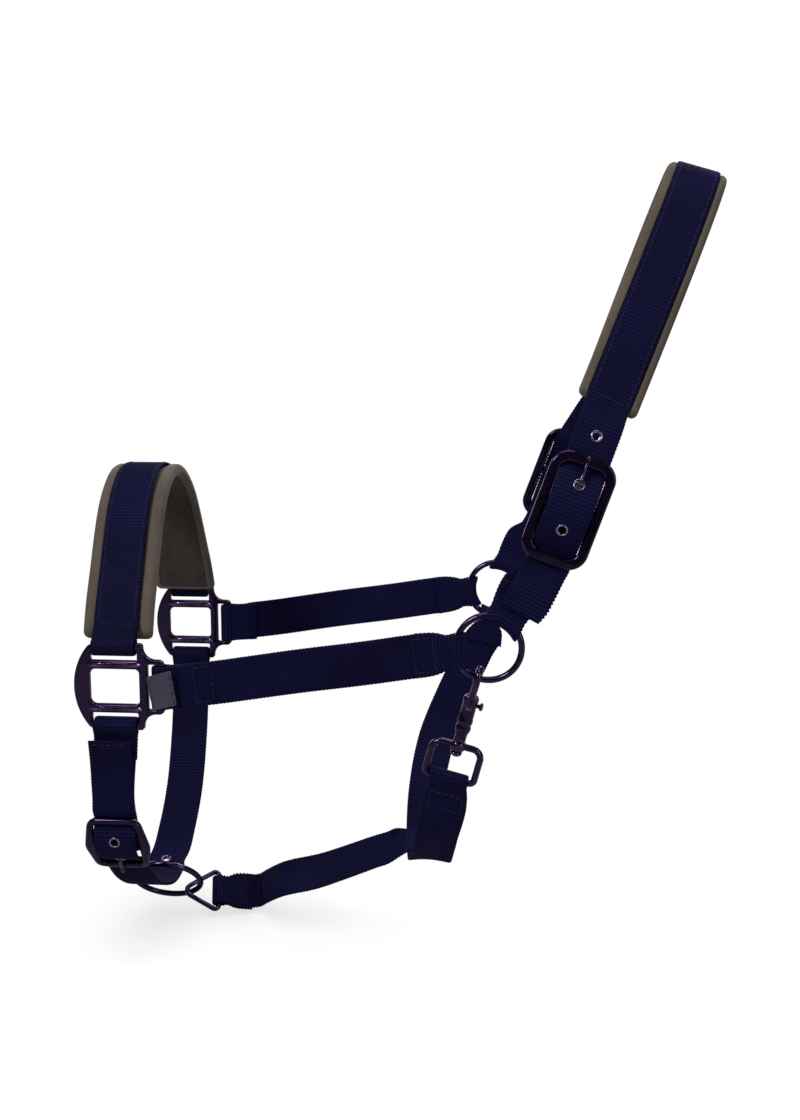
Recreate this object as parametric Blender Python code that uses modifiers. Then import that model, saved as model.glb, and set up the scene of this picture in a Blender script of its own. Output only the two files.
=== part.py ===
"""A padded webbing head halter for a horse, as separate straps, pads and cast or wire hardware.

Every size below is in millimetres, in the head frame: its origin is midway between the two cheek
rings, X points to the poll, +Y to the far side and +Z up. The objects are written in metres, moved so
that the origin is the middle of the crown pad's inner face, where the halter rests on the poll.
"""

import math

import bmesh
import bpy
from mathutils import Matrix, Vector

MM = 0.001
NEAR = -1.0
FAR = 1.0
SIDES = {"near": NEAR, "far": FAR}

# Webbing and padding
WEB_WIDTH = 25.0
WEB = 2.0
LAYER_GAP = 0.3
LAYER = WEB / 2 + LAYER_GAP / 2  # a strap's centre from the plane between two sewn layers
PAD = 6.0
SLOT_HALF = 2.7  # half the width of a tongue's slot
EYELET_GAP = 0.3

# Places along the head
HALF_WIDTH = 90.0  # the rings and squares stand this far from the middle plane
SQUARE_X = -210.5
SQUARE_Z = -26.5
SQUARE_THICK = 4.4
SQUARE_HALF_HEIGHT = 25.0
FRONT_BAR = 22.7  # upper and lower strap bars, from the square's middle
REAR_BAR = 26.65  # cheek strap bar, from the square's middle
BAR_LOOP = 4.1  # strap centre round a cast bar

RING_RADIUS = 18.1
RING_WIRE = 1.85
RING_LOOP = RING_WIRE + 1.0 + WEB / 2

# Crown buckles
BUCKLE_WIDTH = 37.0
BUCKLE_LENGTH = 62.0
BUCKLE_THICK = 3.6
BUCKLE_TILT = 20.0
BUCKLE_LEAN = 0.06
BUCKLE_AT = (42.2, 76.3)
CENTRE_BAR = 3.6
CENTRE_LOOP = 3.5
TONGUE_WIRE = 1.15
TONGUE_LOOP = 3.65
HANGER_ANGLE = 29.0  # from the vertical, at the cheek ring

# Crown arch
CROWN_FOOT = Vector((62.3, 80.0, 132.2))
CROWN_TOP = Vector((115.0, 0.0, 262.8))
CROWN_PAD_WIDTH = 34.0
CROWN_REST = CROWN_TOP - Vector((math.sin(math.radians(16.0)), 0.0, math.cos(math.radians(16.0)))) * (
    WEB / 2 + LAYER_GAP + PAD
)

# Nose arch: (half width, height) of the webbing's centre
NOSE_ARCH = ((82.5, 8.0), (75.0, 20.0), (63.5, 38.0), (53.0, 55.0), (41.0, 71.0), (26.0, 83.0), (10.0, 90.0))
NOSE_TOP_X = -214.0
NOSE_PAD_WIDTH = 39.5

# Chin buckle
CHIN_AT = Vector((-217.0, -71.0, -126.5))
CHIN_UP = Vector((0.0, -0.479, 0.878))
CHIN_OUT = Vector((0.0, -0.878, -0.479))
CHIN_BAR = 18.8
CHIN_WIDTH = 34.0
CHIN_BAR_WIDE = 4.0

# Chin ring and link
CHIN_RING_AT = Vector((-208.3, 3.0, -178.5))
CHIN_RING_RADIUS = 21.5
CHIN_RING_TILT = 42.0
LINK_WIRE = 1.7
LINK_LENGTH = 24.5
LINK_HALF = 14.5

# Snap on the near cheek ring
SNAP_ANGLE = 19.0
SNAP_DOWN = Vector((-0.25, 0.13, -0.95)).normalized()
SNAP_EYE_HALF = 14.2
SNAP_WIRE = 1.7


def clear_scene():
    for obj in list(bpy.data.objects):
        bpy.data.objects.remove(obj, do_unlink=True)
    for group in list(bpy.data.collections):
        bpy.data.collections.remove(group)


def new_collection(name):
    group = bpy.data.collections.new(name)
    bpy.context.scene.collection.children.link(group)
    return group


clear_scene()
HALTER = new_collection("head_halter")
CUTTERS = new_collection("cutters")


def new_material(name, colour, roughness, metallic):
    made = bpy.data.materials.new(name)
    made.use_nodes = True
    shader = made.node_tree.nodes["Principled BSDF"]
    shader.inputs["Base Color"].default_value = (*colour, 1.0)
    shader.inputs["Roughness"].default_value = roughness
    shader.inputs["Metallic"].default_value = metallic
    return made


WEBBING = new_material("navy_webbing", (0.008, 0.008, 0.045), 0.75, 0.0)
PADDING = new_material("padding", (0.11, 0.09, 0.075), 0.9, 0.0)
LABEL = new_material("label", (0.06, 0.06, 0.09), 0.7, 0.0)
METAL = new_material("gunmetal", (0.16, 0.11, 0.19), 0.25, 1.0)
EYELET = new_material("eyelet_metal", (0.42, 0.38, 0.46), 0.3, 1.0)
SPRING = new_material("spring_steel", (0.5, 0.5, 0.52), 0.3, 1.0)


def place(obj, material, pivot=None):
    """Put a piece whose mesh is in head-frame millimetres into the halter, with its origin at pivot."""
    pivot = Vector(pivot) if pivot is not None else CROWN_REST
    obj.data.transform(Matrix.Scale(MM, 4) @ Matrix.Translation(-pivot))
    obj.location = (pivot - CROWN_REST) * MM
    obj.data.materials.append(material)
    HALTER.objects.link(obj)
    return obj


# ---------------------------------------------------------------- straps


def smooth_path(points, steps=3):
    """Points along a Catmull-Rom curve through the given points."""
    ends = [points[0] * 2 - points[1], *points, points[-1] * 2 - points[-2]]
    path = []
    for i in range(1, len(ends) - 2):
        a, b, c, d = ends[i - 1 : i + 3]
        for k in range(steps):
            t = k / steps
            path.append(
                b + (c - a) * (t / 2) + (a * 2 - b * 5 + c * 4 - d) * (t * t / 2)
                + (b * 3 - a - c * 3 + d) * (t ** 3 / 2)
            )
    path.append(points[-1])
    return path


def row(centre, across, width=WEB_WIDTH, columns=4):
    """One row of a strap's points, square to its run; the middle two stand either side of a tongue slot."""
    half = width / 2
    places = (-half, half) if columns == 2 else (-half, -SLOT_HALF, SLOT_HALF, half)
    return [centre + across * q for q in places]


def blend_across(start, end, t):
    return (start * (1 - t) + end * t).normalized()


def strap_rows(points, start_across, end_across, width=WEB_WIDTH, steps=3):
    path = smooth_path(points, steps)
    last = len(path) - 1
    return [row(p, blend_across(start_across, end_across, i / last), width) for i, p in enumerate(path)]


def turning_rows(points, across, steps, width=WEB_WIDTH):
    """Rows of a strap that turns about its run, with its width direction given at each point."""
    turns = smooth_path(across, steps)
    return [row(p, a.normalized(), width) for p, a in zip(smooth_path(points, steps), turns)]


def loop_rows(bar, across, pull, out, radius, flap, gather=1.0, curve_radius=0.0, steps=7):
    """Rows from a sewn flap's end, round a bar and back to where the two layers meet.

    pull points from the bar along the strap and out is the side that the strap leaves on. A bar that is
    part of a ring of curve_radius bends back at the strap's edges, and gather narrows the strap there.
    """
    rows = []
    half = WEB_WIDTH / 2
    places = (-half, -SLOT_HALF, SLOT_HALF, half) if not curve_radius else (-half, -half / 3, half / 3, half)

    def add(along, side, narrow, follow):
        rows.append([])
        for q in places:
            q = q * narrow
            bend = curve_radius - math.sqrt(curve_radius ** 2 - q * q) if curve_radius else 0.0
            rows[-1].append(bar + across * q + pull * (along - bend * follow) + out * side)

    meet = radius + 3.2
    add(flap, -LAYER, 1.0, 0.0)
    add(meet + 3.0, -LAYER, (1 + gather) / 2, 0.4)
    add(meet - 0.4, -LAYER - 0.25, gather, 0.8)
    for k in range(steps):
        angle = math.radians(-52 - 256 * k / (steps - 1))
        add(radius * math.cos(angle), radius * math.sin(angle), gather, 1.0)
    add(meet - 0.4, LAYER + 0.25, gather, 0.8)
    add(meet + 3.0, LAYER, (1 + gather) / 2, 0.4)
    return rows


def sheet(name, rows, material, thickness=WEB, pivot=None, open_rows=(), holes=()):
    """A strap: a grid of rows, thickened, with a tongue slot along open_rows and eyelet holes."""
    mesh = bpy.data.meshes.new(name)
    grid = bmesh.new()
    verts = [[grid.verts.new(p) for p in line] for line in rows]
    middle = (len(rows[0]) - 2) // 2
    for i in range(len(rows) - 1):
        for j in range(len(rows[i]) - 1):
            if i in open_rows and j == middle:
                continue
            grid.faces.new((verts[i][j], verts[i][j + 1], verts[i + 1][j + 1], verts[i + 1][j]))
    grid.to_mesh(mesh)
    grid.free()
    obj = place(bpy.data.objects.new(name, mesh), material, pivot)
    solid = obj.modifiers.new("thickness", "SOLIDIFY")
    solid.thickness = thickness * MM
    solid.offset = 0.0
    solid.use_even_offset = True
    for i, (centre, axis) in enumerate(holes):
        cut = obj.modifiers.new(f"eyelet_hole_{i}", "BOOLEAN")
        cut.operation = "DIFFERENCE"
        cut.object = hole_cutter(f"{name}_hole_{i}", centre, axis)
    mesh.shade_smooth()
    return obj


def hole_cutter(name, centre, axis, radius=3.2, depth=7.0, sides=12):
    mesh = bpy.data.meshes.new(name)
    shape = bmesh.new()
    bmesh.ops.create_cone(
        shape, cap_ends=True, segments=sides, radius1=radius * MM, radius2=radius * MM, depth=depth * MM
    )
    shape.to_mesh(mesh)
    shape.free()
    obj = bpy.data.objects.new(name, mesh)
    obj.rotation_mode = "QUATERNION"
    obj.rotation_quaternion = axis.to_track_quat("Z", "Y")
    obj.location = (centre - CROWN_REST) * MM
    obj.hide_render = True
    obj.display_type = "WIRE"
    CUTTERS.objects.link(obj)
    return obj


# ---------------------------------------------------------------- hardware shapes


def wire(name, points, radius, material, closed=False, pivot=None, resolution=2):
    """A bent wire along the points."""
    curve = bpy.data.curves.new(name, "CURVE")
    curve.dimensions = "3D"
    curve.bevel_depth = radius
    curve.bevel_resolution = resolution
    curve.use_fill_caps = not closed
    spline = curve.splines.new("POLY")
    spline.points.add(len(points) - 1)
    for target, point in zip(spline.points, points):
        target.co = (*point, 1.0)
    spline.use_cyclic_u = closed
    spline.use_smooth = True
    guide = bpy.data.objects.new(name, curve)
    bpy.context.scene.collection.objects.link(guide)
    bpy.context.view_layer.update()
    graph = bpy.context.evaluated_depsgraph_get()
    mesh = bpy.data.meshes.new_from_object(guide.evaluated_get(graph))
    bpy.data.objects.remove(guide, do_unlink=True)
    bpy.data.curves.remove(curve)
    mesh.materials.clear()
    weld(mesh)
    mesh.name = name
    mesh.shade_smooth()
    return place(bpy.data.objects.new(name, mesh), material, pivot)


def weld(mesh):
    shape = bmesh.new()
    shape.from_mesh(mesh)
    bmesh.ops.remove_doubles(shape, verts=shape.verts, dist=1e-4)
    bmesh.ops.recalc_face_normals(shape, faces=shape.faces)
    shape.to_mesh(mesh)
    shape.free()


def ring_points(centre, first, second, radius, count=40):
    turns = [math.tau * i / count for i in range(count)]
    return [centre + first * (radius * math.cos(a)) + second * (radius * math.sin(a)) for a in turns]


def rounded(corners, steps=4):
    """A closed outline through (x, y, radius) corners, with each corner an arc."""
    outline = []
    for i, (x, y, radius) in enumerate(corners):
        here = Vector((x, y))
        before = (Vector(corners[i - 1][:2]) - here).normalized()
        after = (Vector(corners[(i + 1) % len(corners)][:2]) - here).normalized()
        if radius == 0.0:
            outline.append(here)
            continue
        half = before.angle(after) / 2
        centre = here + (before + after).normalized() * (radius / math.sin(half))
        start = here + before * (radius / math.tan(half)) - centre
        end = here + after * (radius / math.tan(half)) - centre
        sweep = start.angle_signed(end)
        for k in range(steps + 1):
            outline.append(centre + Matrix.Rotation(-sweep * k / steps, 2) @ start)
    return outline


def plate(name, outlines, thickness, bevel, material, to_head, pivot=None):
    """A cast plate: its outline and holes, filled, thickened and rounded, put into the head frame."""
    curve = bpy.data.curves.new(name, "CURVE")
    curve.dimensions = "2D"
    curve.fill_mode = "BOTH"
    curve.extrude = thickness / 2 - bevel
    curve.bevel_depth = bevel
    curve.bevel_resolution = 1
    curve.offset = -bevel
    for outline in outlines:
        spline = curve.splines.new("POLY")
        spline.points.add(len(outline) - 1)
        for target, point in zip(spline.points, outline):
            target.co = (point[0], point[1], 0.0, 1.0)
        spline.use_cyclic_u = True
    guide = bpy.data.objects.new(name, curve)
    bpy.context.scene.collection.objects.link(guide)
    bpy.context.view_layer.update()
    graph = bpy.context.evaluated_depsgraph_get()
    mesh = bpy.data.meshes.new_from_object(guide.evaluated_get(graph))
    bpy.data.objects.remove(guide, do_unlink=True)
    bpy.data.curves.remove(curve)
    mesh.materials.clear()
    weld(mesh)
    mesh.name = name
    mesh.transform(to_head)
    mesh.shade_smooth()
    mesh.set_sharp_from_angle(angle=math.radians(40))
    return place(bpy.data.objects.new(name, mesh), material, pivot)


def turned(name, profile, centre, axis, material, steps=16, pivot=None):
    """A piece turned about axis through centre, from its (radius, height) profile, outer side first."""
    mesh = bpy.data.meshes.new(name)
    shape = bmesh.new()
    verts = [shape.verts.new((r, 0.0, h)) for r, h in profile]
    for i in range(len(verts)):
        a = verts[i]
        b = verts[(i + 1) % len(verts)]
        if a.co.x > 0 or b.co.x > 0:
            shape.edges.new((a, b))
    turning = axis.to_track_quat("Z", "Y").to_matrix().to_4x4()
    bmesh.ops.spin(
        shape,
        geom=shape.verts[:] + shape.edges[:],
        cent=(0, 0, 0),
        axis=(0, 0, 1),
        angle=math.tau,
        steps=steps,
        use_merge=True,
    )
    bmesh.ops.remove_doubles(shape, verts=shape.verts, dist=1e-4)
    bmesh.ops.recalc_face_normals(shape, faces=shape.faces)
    bmesh.ops.transform(shape, matrix=Matrix.Translation(centre) @ turning, verts=shape.verts)
    shape.to_mesh(mesh)
    shape.free()
    mesh.shade_smooth()
    mesh.set_sharp_from_angle(angle=math.radians(40))
    return place(bpy.data.objects.new(name, mesh), material, pivot)


def eyelet(name, centre, axis, pivot=None):
    """A rolled eyelet set through a strap."""
    bore = 2.1
    barrel = 2.8
    flange = 3.9
    under = WEB / 2 + EYELET_GAP
    over = under + 0.55
    profile = (
        (bore, over), (flange, over), (flange, under), (barrel, under),
        (barrel, -under), (flange, -under), (flange, -over), (bore, -over),
    )
    return turned(name, profile, centre, axis, EYELET, 14, pivot)


def merge(base, operation, other):
    """Join another piece to base, or cut it away, for good."""
    joining = base.modifiers.new("join", "BOOLEAN")
    joining.operation = operation
    joining.object = other
    bpy.context.view_layer.update()
    graph = bpy.context.evaluated_depsgraph_get()
    mesh = bpy.data.meshes.new_from_object(base.evaluated_get(graph))
    base.modifiers.clear()
    base.data = mesh
    bpy.data.objects.remove(other, do_unlink=True)


# ---------------------------------------------------------------- head-frame helpers


def flip(side):
    """A function that puts a near-side point or direction on the given side."""
    return lambda v: Vector((v[0], v[1] if side == NEAR else -v[1], v[2]))


def radial(degrees):
    """A direction in a side plane, measured from straight up towards the poll."""
    a = math.radians(degrees)
    return Vector((math.sin(a), 0.0, math.cos(a)))


UP = Vector((0, 0, 1))
ALONG = Vector((1, 0, 0))
SIDE = Vector((0, 1, 0))


# ---------------------------------------------------------------- noseband


def nose_line():
    """Centre of the nose webbing from the near square over the nose to the far square."""
    near = []
    for half, height in NOSE_ARCH:
        t = height / 91.0
        near.append(Vector((SQUARE_X + (NOSE_TOP_X - SQUARE_X) * t, -half, height)))
    return near, [flip(FAR)(p) for p in reversed(near)]


def nose_webbing():
    bar = Vector((SQUARE_X + 0.15, -HALF_WIDTH, SQUARE_Z + FRONT_BAR))
    pull = Vector((0, 0.42, 0.91)).normalized()
    out = Vector((0, -0.91, 0.42)).normalized()
    near, far = nose_line()
    start = loop_rows(bar, ALONG, pull, out, BAR_LOOP, 12.0)
    line = smooth_path(near + far, 2)
    body = [row(p, ALONG) for p in line]
    end = [[flip(FAR)(p) for p in line] for line in reversed(start)]
    sheet("nose_webbing", start + body + end, WEBBING)


def inward_normals(path, across):
    """Unit normals of a strap on the side towards the head's middle."""
    normals = []
    for i, p in enumerate(path):
        run = path[min(i + 1, len(path) - 1)] - path[max(i - 1, 0)]
        normal = run.cross(across[i]).normalized()
        normals.append(normal)
    return normals


def nose_pad():
    near, far = nose_line()
    path = smooth_path([Vector((SQUARE_X, -85.6, 2.0)), *near, *far, Vector((SQUARE_X, 85.6, 2.0))], 2)
    across = [ALONG] * len(path)
    normals = inward_normals(path, across)
    middle = normals[len(path) // 2]
    facing = 1.0 if middle.z < 0 else -1.0
    rows = []
    for p, normal in zip(path, normals):
        low = max(0.0, 1.0 - max(p.z, 0.0) / 20.0)
        offset = WEB / 2 + LAYER_GAP + PAD / 2 + 2.6 * low
        lean = ALONG * (1.2 * max(p.z, 0.0) / 91.0)
        rows.append(row(p + normal * (facing * offset) + lean, ALONG, NOSE_PAD_WIDTH, 2))
    sheet("nose_pad", rows, PADDING, PAD)


def square(name, side):
    """A cast three-way square with a D-shaped front."""
    half = SQUARE_HALF_HEIGHT
    bulge = 9.8  # the front arc stands this far before its ends
    arc_radius = (half ** 2 + bulge ** 2) / (2 * bulge)
    arc_centre = -13.4 - bulge + arc_radius
    spread = math.asin((half - 1.5) / arc_radius)
    front = []
    for k in range(13):
        angle = spread - 2 * spread * k / 12
        front.append(Vector((arc_centre - arc_radius * math.cos(angle), arc_radius * math.sin(angle))))
    right = rounded(
        [
            (0.0, -half, 0.0),
            (16.9, -half, 2.0),
            (16.9, -15.7, 7.0),
            (28.8, -15.7, 3.2),
            (28.8, 15.7, 3.2),
            (16.9, 15.7, 7.0),
            (16.9, half, 2.0),
            (0.0, half, 0.0),
        ]
    )
    outer = front + [Vector((-12.0, -half))] + right + [Vector((-12.0, half))]
    window = rounded([(-14.0, -10.2, 3.5), (14.5, -10.2, 2.5), (14.5, 10.2, 2.5), (-14.0, 10.2, 3.5)])
    upper = rounded([(-13.2, 15.1, 0.8), (13.5, 15.1, 0.8), (13.5, 20.4, 0.8), (-13.2, 20.4, 0.8)], 1)
    lower = [Vector((p.x, -p.y)) for p in reversed(upper)]
    rear = rounded([(19.5, -13.1, 0.6), (24.5, -13.1, 0.6), (24.5, 13.1, 0.6), (19.5, 13.1, 0.6)], 1)
    to_head = Matrix(
        ((1, 0, 0, SQUARE_X), (0, 0, -1, side * HALF_WIDTH), (0, 1, 0, SQUARE_Z), (0, 0, 0, 1))
    )
    plate(name, [outer, window, upper, lower, rear], SQUARE_THICK, 1.0, METAL, to_head)


# ---------------------------------------------------------------- cheeks


def cheek_ring(name, side):
    centre = Vector((0, side * HALF_WIDTH, 0))
    wire(name, ring_points(centre, ALONG, UP, RING_RADIUS), RING_WIRE, METAL, True, centre)


def cheek_strap(name, side):
    turn = flip(side)
    out = Vector((0, -1, 0))
    square_bar = Vector((SQUARE_X + REAR_BAR, -HALF_WIDTH, SQUARE_Z))
    first_pull = Vector((0.995, 0, 0.06)).normalized()
    start = loop_rows(square_bar, UP, first_pull, out, BAR_LOOP, 20.0)
    ring_pull = radial(-98.0)
    ring_across = Vector((-ring_pull.z, 0, ring_pull.x)) * -1
    ring_bar = Vector((0, -HALF_WIDTH, 0)) + radial(-97.3) * RING_RADIUS
    end = loop_rows(ring_bar, ring_across, ring_pull, out, RING_LOOP, 22.0, 0.76, RING_RADIUS)
    shift = out * LAYER
    middle = [
        Vector((-166.0, -HALF_WIDTH, -24.6)),
        Vector((-147.9, -HALF_WIDTH, -22.1)),
        Vector((-106.4, -HALF_WIDTH, -15.4)),
        Vector((-70.8, -HALF_WIDTH, -10.3)),
        Vector((-46.0, -HALF_WIDTH, -6.3)),
    ]
    body = strap_rows([p + shift for p in middle], Vector((-0.1, 0, 1)), ring_across, steps=3)
    rows = start + body + list(reversed(end))
    sheet(name, [[turn(p) for p in line] for line in rows], WEBBING)


def cheek_label():
    """A folded cloth tab sewn over the near cheek strap's fold at the square."""
    rows = []
    for x in (-191.0, -186.5, -182.0, -176.5):
        lean = Vector((0.1, 0, 1)).normalized()
        rows.append(row(Vector((x, -HALF_WIDTH - BAR_LOOP - 2.0, SQUARE_Z + 0.5)), lean, 21.5, 2))
    sheet("cheek_label", rows, LABEL, 0.9)


# ---------------------------------------------------------------- crown


class Crown:
    """Directions of a crown buckle on the near side: up the strap, across it and out from the head."""

    across = Vector((math.cos(math.radians(BUCKLE_TILT)), 0, -math.sin(math.radians(BUCKLE_TILT))))
    up = (radial(BUCKLE_TILT) + SIDE * BUCKLE_LEAN).normalized()
    out = across.cross(up).normalized()
    at = Vector((BUCKLE_AT[0], -HALF_WIDTH, BUCKLE_AT[1]))

    @classmethod
    def point(cls, along, side, across=0.0):
        return cls.at + cls.up * along + cls.out * side + cls.across * across


HANGER_ACROSS = Vector((radial(HANGER_ANGLE).z, 0, -radial(HANGER_ANGLE).x))

# (distance up from the centre bar, distance out from the frame's middle) of the billet
BILLET = (
    (-62.0, 0.9), (-55.0, 0.8), (-49.0, 0.8), (-42.0, -1.2), (-36.0, -3.0), (-30.5, -3.3), (-24.5, -3.2),
    (-19.0, 0.4), (-14.5, 3.5), (-10.5, 5.0), (-6.5, 6.4), (0.0, 6.8), (6.0, 6.4), (10.5, 5.3), (14.5, 3.5),
    (18.5, 1.7), (24.5, -3.2), (30.5, -3.5), (37.0, -4.2), (42.0, -4.8), (47.0, -5.6),
)
EYELETS = ((42.0, -4.8), (14.5, 3.5), (-10.5, 5.0))


def crown_across(t):
    angle = math.radians(25.0 - 9.0 * t)
    return Vector((math.cos(angle), 0, -math.sin(angle)))


# (half width, height above the pad's end) of the webbing over the poll
CROWN_ARCH = (
    (76.0, 0.0), (67.5, 25.0), (58.0, 51.0), (47.5, 77.0), (35.5, 100.0), (23.0, 117.5), (13.0, 127.0),
)
CROWN_RISE = 130.6
FAR_TWIST = 8.0  # the far half is turned this far towards the rear at the pad's end


def crown_arch():
    """(centre, width direction, rise) of the webbing from the near pad end up to the poll."""
    path = smooth_path([Vector((half, 0.0, rise)) for half, rise in CROWN_ARCH], 2)
    points = []
    for p in path:
        rise = p.z / CROWN_RISE
        along = CROWN_FOOT.lerp(CROWN_TOP, rise)
        points.append((Vector((along.x, -p.x, along.z)), crown_across(rise), rise))
    points.append((Vector((CROWN_TOP.x, -6.0, CROWN_TOP.z)), crown_across(1.0), 1.0))
    return points


def far_crown(p, twist):
    """The far side's point for a near one, shifted back by the headpiece's twist."""
    return flip(FAR)(p) + ALONG * (FAR_TWIST * twist)


def billet_twist(along):
    return max(0.0, (along - 26.0) / 34.0)


def outward(axis, out):
    return axis if axis.dot(out) > 0 else -axis


def billet_axis(along):
    places = [a for a, _ in BILLET]
    i = min(range(len(places)), key=lambda k: abs(places[k] - along))
    run = Crown.point(*BILLET[i + 1]) - Crown.point(*BILLET[i - 1])
    return run.cross(Crown.across).normalized()


def billet_row(along, out):
    """A row of the billet; its free end turns to lie along the hanger."""
    turned_by = max(0.0, -31.0 - along)
    centre = Crown.point(along, out) - Crown.across * (0.13 * turned_by)
    width = WEB_WIDTH - (3.0 if along == BILLET[0][0] else 0.0)
    return row(centre, blend_across(Crown.across, HANGER_ACROSS, turned_by / 40.0), width, 2)


def crown_strap():
    near = [(billet_row(a, out), billet_twist(a)) for a, out in BILLET]
    near += [(row(p, across, WEB_WIDTH, 2), 1.0 - rise) for p, across, rise in crown_arch()]
    rows = [line for line, _ in near]
    rows += [[far_crown(p, twist) for p in line] for line, twist in reversed(near)]
    holes = [eyelet_place(side, i) for side in SIDES.values() for i in range(len(EYELETS))]
    sheet("crown_strap", rows, WEBBING, holes=holes, pivot=(0, 0, 0))


def eyelet_place(side, i):
    along, out = EYELETS[i]
    centre = Crown.point(along, out)
    if side == NEAR:
        return centre, billet_axis(along)
    return far_crown(centre, billet_twist(along)), flip(FAR)(billet_axis(along))


def crown_pad():
    near = crown_arch()
    path = [p for p, _, _ in near]
    across = [a for _, a, _ in near]
    path += [far_crown(p, 1.0 - rise) for p, _, rise in reversed(near)]
    across += list(reversed(across))
    normals = inward_normals(path, across)
    facing = 1.0 if normals[len(path) // 2].z < 0 else -1.0
    offset = WEB / 2 + LAYER_GAP + PAD / 2
    rows = [row(p + n * (facing * offset), a, CROWN_PAD_WIDTH, 2) for p, n, a in zip(path, normals, across)]
    sheet("crown_pad", rows, PADDING, PAD, pivot=(0, 0, 0))


def crown_hanger(name, side):
    """A short strap folded round the cheek ring below and the buckle's centre bar above."""
    turn = flip(side)
    top = loop_rows(Crown.at, Crown.across, -Crown.up, Crown.out * -1, CENTRE_LOOP, 18.5)
    # The front layer leans back with the main layer, to lie under the billet
    top[0] = [p - Crown.out * 3.0 for p in top[0]]
    top[1] = [p - Crown.out * 1.0 for p in top[1]]
    top[-1] = [p - Crown.out * 1.2 for p in top[-1]]
    pull = radial(HANGER_ANGLE)
    across = HANGER_ACROSS
    bar = Vector((0, -HALF_WIDTH, 0)) + pull * RING_RADIUS
    inner = Vector((0, 1, 0))
    foot = loop_rows(bar, across, pull, inner, RING_LOOP, 20.0, 0.86, RING_RADIUS)
    middle = [Crown.point(-19.0, -5.0), Crown.point(-26.0, -5.7), Crown.point(-34.0, -5.7)]
    lower = bar + pull * 22.0 + inner * LAYER
    body = [row(p, Crown.across) for p in middle]
    body.append(row(lower, blend_across(across, Crown.across, 0.3)))
    rows = top + body + list(reversed(foot))
    slot_rows = range(2, 10)
    sheet(name, [[turn(p) for p in line] for line in rows], WEBBING, pivot=(0, 0, 0), open_rows=slot_rows)


def crown_buckle(name, side):
    """A double-bar frame: two openings either side of a centre bar."""
    half_w = BUCKLE_WIDTH / 2
    half_l = BUCKLE_LENGTH / 2
    inner_w = 13.0
    inner_l = 25.0
    bar = CENTRE_BAR / 2
    ends = [(-half_w, -half_l, 11), (half_w, -half_l, 11), (half_w, half_l, 11), (-half_w, half_l, 11)]
    outer = rounded(ends, 6)
    window = [(-inner_w, bar, 1), (inner_w, bar, 1), (inner_w, inner_l, 3.2), (-inner_w, inner_l, 3.2)]
    upper = rounded(window, 3)
    lower = [Vector((p.x, -p.y)) for p in reversed(upper)]
    x_axis = flip(side)(Crown.across)
    y_axis = flip(side)(Crown.up)
    at = flip(side)(Crown.at)
    to_head = Matrix.Translation(at) @ Matrix((x_axis, y_axis, x_axis.cross(y_axis))).transposed().to_4x4()
    plate(name, [outer, upper, lower], BUCKLE_THICK, 1.1, METAL, to_head, (0, 0, 0))


def tongue_points(at, run, out, hole, hole_axis, reach, rest):
    """A tongue's wire: bent round its bar, up through the eyelet and over to its tip, at height rest."""
    points = []
    for k in range(11):
        angle = math.radians(75 + 250 * k / 10)
        points.append(at + run * (TONGUE_LOOP * math.cos(angle)) + out * (TONGUE_LOOP * math.sin(angle)))
    clear = 2.7
    points.append(hole - hole_axis * clear)
    points.append(hole + hole_axis * clear)
    points.append(at + run * (reach - 4.5) + out * (rest + 0.2))
    points.append(at + run * reach + out * rest)
    return points


def crown_tongue(name, side):
    rest = BUCKLE_THICK / 2 + 0.3 + TONGUE_WIRE
    along, out = EYELETS[1]
    hole_axis = outward(billet_axis(along), Crown.out)
    points = tongue_points(Crown.at, Crown.up, Crown.out, Crown.point(along, out), hole_axis, 30.0, rest)
    turn = flip(side)
    wire(name, [turn(p) for p in points], TONGUE_WIRE, METAL, pivot=turn(Crown.at))


# ---------------------------------------------------------------- chin

HANGER_PULL = Vector((0.10, -0.15, 0.98)).normalized()
HANGER_OUT = Vector((0.0, -0.98, -0.15)).normalized()
LOWER_BAR = Vector((SQUARE_X + 0.15, -HALF_WIDTH, SQUARE_Z - FRONT_BAR))


def chin_point(along, out, across=0.0):
    return CHIN_AT + CHIN_UP * along + CHIN_OUT * out + ALONG * across


def chin_hanger():
    """A short strap folded round the near square's lower bar and the chin buckle's centre bar."""
    top = loop_rows(LOWER_BAR, ALONG, -HANGER_PULL, HANGER_OUT, BAR_LOOP, 22.0)
    foot = loop_rows(CHIN_AT, ALONG, CHIN_UP, -CHIN_OUT, CENTRE_LOOP, 11.5)
    foot[0] = [p - CHIN_OUT * 1.9 for p in foot[0]]
    foot[1] = [p - CHIN_OUT * 1.0 for p in foot[1]]
    foot[-1] = [p - CHIN_OUT * 1.4 for p in foot[-1]]
    behind = [chin_point(21.5, -5.7), chin_point(17.5, -5.5), chin_point(13.5, -4.6)]
    rows = top + [row(p, ALONG) for p in behind] + list(reversed(foot))
    count = len(rows)
    slot_rows = range(count - 11, count - 3)
    sheet("chin_hanger", rows, WEBBING, open_rows=slot_rows)


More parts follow.
